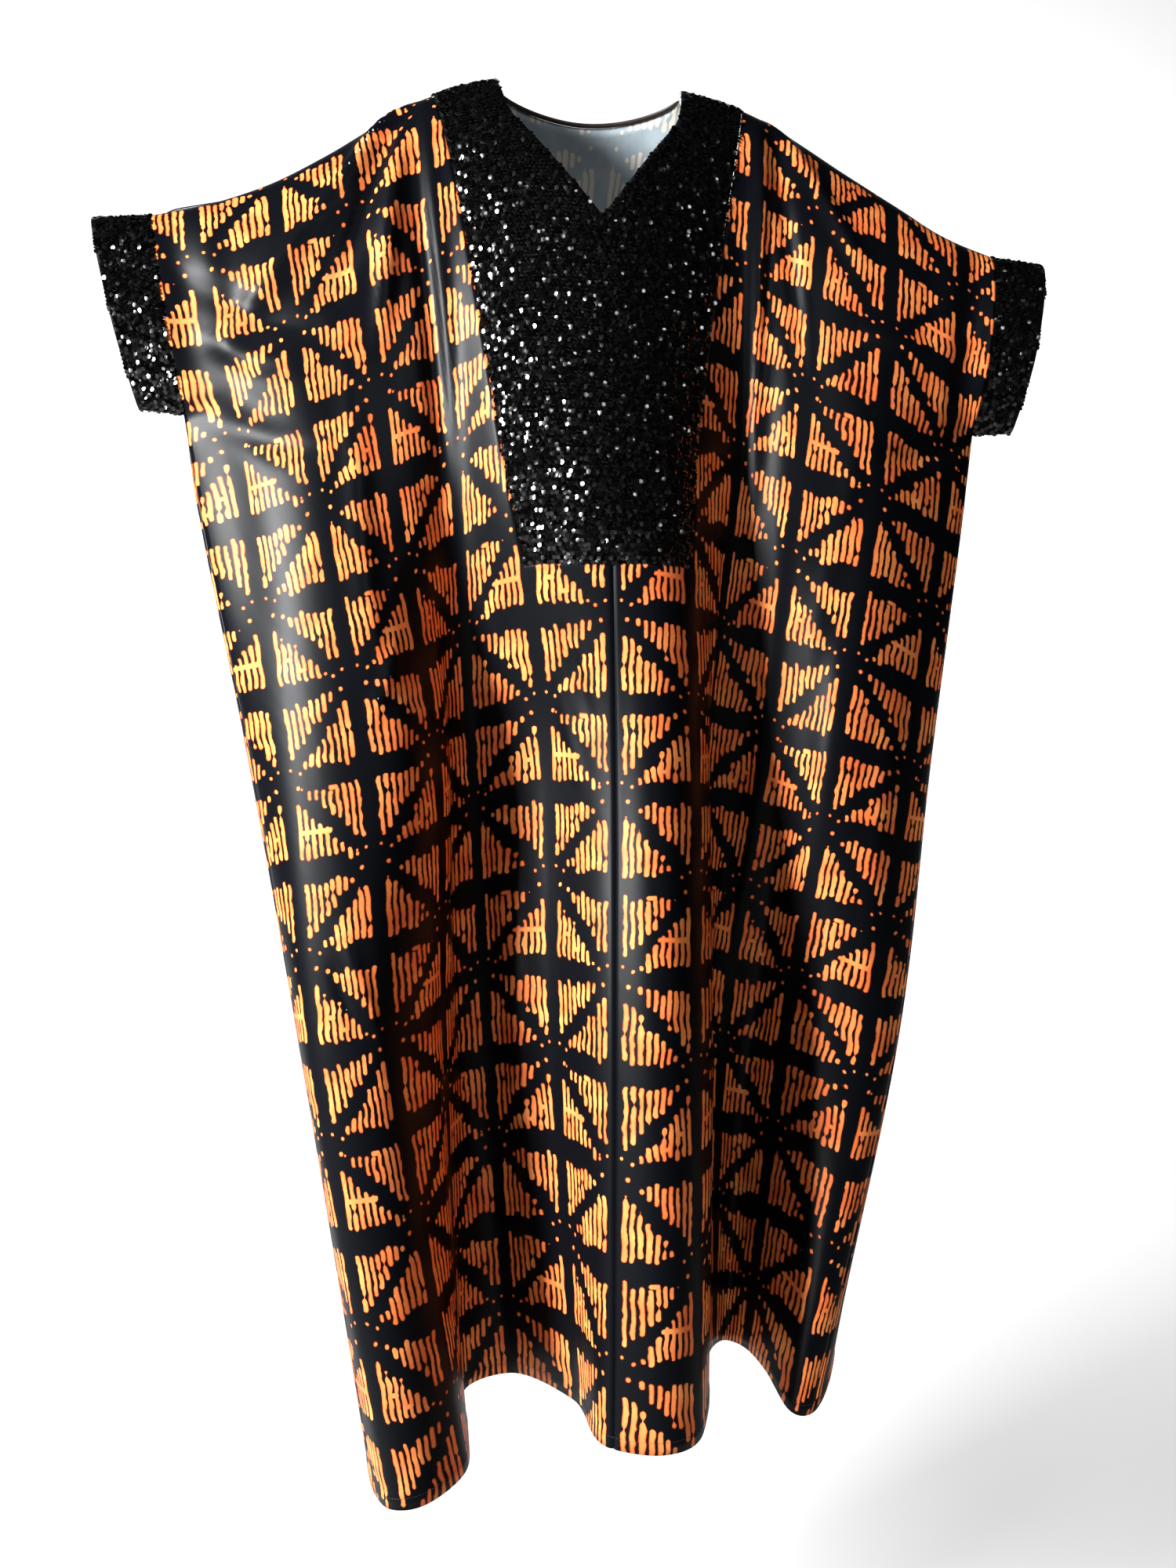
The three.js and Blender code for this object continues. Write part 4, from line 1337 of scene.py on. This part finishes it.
class KAFTAN_OT_back(PieceOperator):
    """Builds the printed back with its hem stitches"""
    bl_idname = "kaftan.back"
    bl_label = "Back"

    def execute(self, context):
        look = context.scene.kaftan_look
        face = printed_satin(look, "printed satin back", BACK_SHIFT)
        reverse = satin_reverse(look, "satin reverse back", BACK_SHIFT)
        piece = mesh_object("back_cloth", shell(*back_sheet(), SHELL_WALL), [face, reverse])
        finish_piece(piece, "back")
        stitches = add_stitches(context, "back_hem", -1, -HALF_WIDTH + 1, HALF_WIDTH - 1)
        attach(stitches, "root")
        return {"FINISHED"}


class KAFTAN_OT_yoke(PieceOperator):
    """Builds the yoke and its sequins"""
    bl_idname = "kaftan.yoke"
    bl_label = "Yoke"

    def execute(self, context):
        knit = bpy.data.materials.get("sequin base") or dark_knit()
        piece = mesh_object("yoke_cloth", shell(*yoke_sheet(), SHELL_WALL), [knit, knit])
        finish_piece(piece, "yoke")
        sequins = add_sequins(context, "yoke_sequins", yoke_sites(context.scene.kaftan_sequins))
        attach(sequins, "root")
        return {"FINISHED"}


class KAFTAN_OT_cuffs(PieceOperator):
    """Builds the two cuffs and their sequins"""
    bl_idname = "kaftan.cuffs"
    bl_label = "Cuffs"

    def execute(self, context):
        knit = bpy.data.materials.get("sequin base") or dark_knit()
        for name, sign in (("cuff_left", -1), ("cuff_right", 1)):
            piece = mesh_object(name + "_cloth", cuff_shell(sign), [knit, knit])
            finish_piece(piece, name)
            sites = cuff_sites(context.scene.kaftan_sequins, sign)
            sequins = add_sequins(context, name + "_sequins", sites)
            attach(sequins, "root")
        return {"FINISHED"}


class KAFTAN_OT_binding(PieceOperator):
    """Builds the binding of the back neck"""
    bl_idname = "kaftan.binding"
    bl_label = "Neck binding"

    def execute(self, context):
        satin = binding_satin(context.scene.kaftan_look)
        piece = mesh_object("neck_binding_cloth", binding_shell(), [satin])
        finish_piece(piece, "neck_binding")
        return {"FINISHED"}


def soft_light(name, place, target, size, power, in_gloss):
    """A rectangular soft box that looks at a point."""
    data = bpy.data.lights.new(name, "AREA")
    data.shape = "RECTANGLE"
    data.size, data.size_y = size
    data.energy = power
    light = add_object(name, data)
    light.location = place
    light.rotation_euler = (Vector(target) - Vector(place)).to_track_quat("-Z", "Y").to_euler()
    light.visible_glossy = in_gloss


def camera_ray(tree):
    """1 where the camera itself looks, and 0 for light and reflections."""
    return Term(tree.nodes.new("ShaderNodeLightPath").outputs["Is Camera Ray"])


def backdrop():
    """A pale floor that curves up behind the dress. The camera sees it a little paler than it is."""
    profile = [(-FLOOR_REACH, FLOOR_Z)]
    for angle in np.linspace(0, math.pi / 2, BEND_STEPS + 1):
        y = BACKDROP_Y - BACKDROP_BEND + BACKDROP_BEND * math.sin(angle)
        profile.append((y, FLOOR_Z + BACKDROP_BEND * (1 - math.cos(angle))))
    profile.append((BACKDROP_Y, BACKDROP_TOP))
    points = [(x, y, z) for y, z in profile for x in (-FLOOR_REACH, FLOOR_REACH)]
    faces = [(2 * i, 2 * i + 1, 2 * i + 3, 2 * i + 2) for i in range(len(profile) - 1)]
    mesh = bpy.data.meshes.new("floor")
    mesh.from_pydata(points, [], faces)
    mesh.polygons.foreach_set("use_smooth", np.ones(len(faces), bool))
    material, shader = new_material("pale floor")
    set_inputs(shader, {
        "Base Color": grey(FLOOR_GREY),
        "Roughness": 0.9,
        "Emission Color": grey(1),
        "Emission Strength": camera_ray(material.node_tree) * FLOOR_GLOW,
    })
    mesh.materials.append(material)
    return add_object("floor", mesh)


def studio_world(strength):
    """A dim surround that the camera itself sees as pale."""
    world = bpy.data.worlds.new("surround")
    world.use_nodes = True
    shown = camera_ray(world.node_tree) * (SEEN_STRENGTH - strength) + strength
    set_inputs(world.node_tree.nodes["Background"], {"Color": grey(1), "Strength": shown})
    return world


class KAFTAN_OT_stage(PieceOperator):
    """Sets up the floor, the lights and the camera"""
    bl_idname = "kaftan.stage"
    bl_label = "Stage"

    def execute(self, context):
        options = context.scene.kaftan_stage
        backdrop()
        for name, place, target, size, share, in_gloss in LIGHTS:
            soft_light(name, place, target, size, options.key * share, in_gloss)
        context.scene.world = studio_world(options.surround)
        data = bpy.data.cameras.new("camera")
        data.lens = CAMERA_LENS
        data.sensor_width = SENSOR
        camera = add_object("camera", data)
        turn, reach = options.azimuth, options.distance
        camera.location = (math.sin(turn) * reach, -math.cos(turn) * reach, options.height)
        camera.rotation_euler = (math.pi / 2, 0, turn)
        context.scene.camera = camera
        context.scene.view_settings.view_transform = "Standard"
        return {"FINISHED"}


class KAFTAN_PT_panel(bpy.types.Panel):
    """Lists the steps that build the dress"""
    bl_idname = "KAFTAN_PT_panel"
    bl_label = "Kaftan dress"
    bl_space_type = "VIEW_3D"
    bl_region_type = "UI"
    bl_category = "Kaftan"

    def draw(self, context):
        for step in OPERATORS:
            self.layout.operator(step.bl_idname)
        for group in (context.scene.kaftan_look, context.scene.kaftan_sequins, context.scene.kaftan_stage):
            box = self.layout.box()
            for label in group.__annotations__:
                box.prop(group, label)


OPERATORS = (
    KAFTAN_OT_fronts,
    KAFTAN_OT_back,
    KAFTAN_OT_yoke,
    KAFTAN_OT_cuffs,
    KAFTAN_OT_binding,
    KAFTAN_OT_stage,
)
GROUPS = {"kaftan_look": KaftanLook, "kaftan_sequins": KaftanSequins, "kaftan_stage": KaftanStage}


def register():
    for group in GROUPS.values():
        bpy.utils.register_class(group)
    for item in (*OPERATORS, KAFTAN_PT_panel):
        bpy.utils.register_class(item)
    for label, group in GROUPS.items():
        setattr(bpy.types.Scene, label, bpy.props.PointerProperty(type=group))


def unregister():
    for label in GROUPS:
        delattr(bpy.types.Scene, label)
    for item in (KAFTAN_PT_panel, *reversed(OPERATORS), *GROUPS.values()):
        bpy.utils.unregister_class(item)


def main():
    register()
    bpy.ops.kaftan.fronts()
    bpy.ops.kaftan.back()
    bpy.ops.kaftan.yoke()
    bpy.ops.kaftan.cuffs()
    bpy.ops.kaftan.binding()
    bpy.ops.kaftan.stage()


if __name__ == "__main__":
    main()
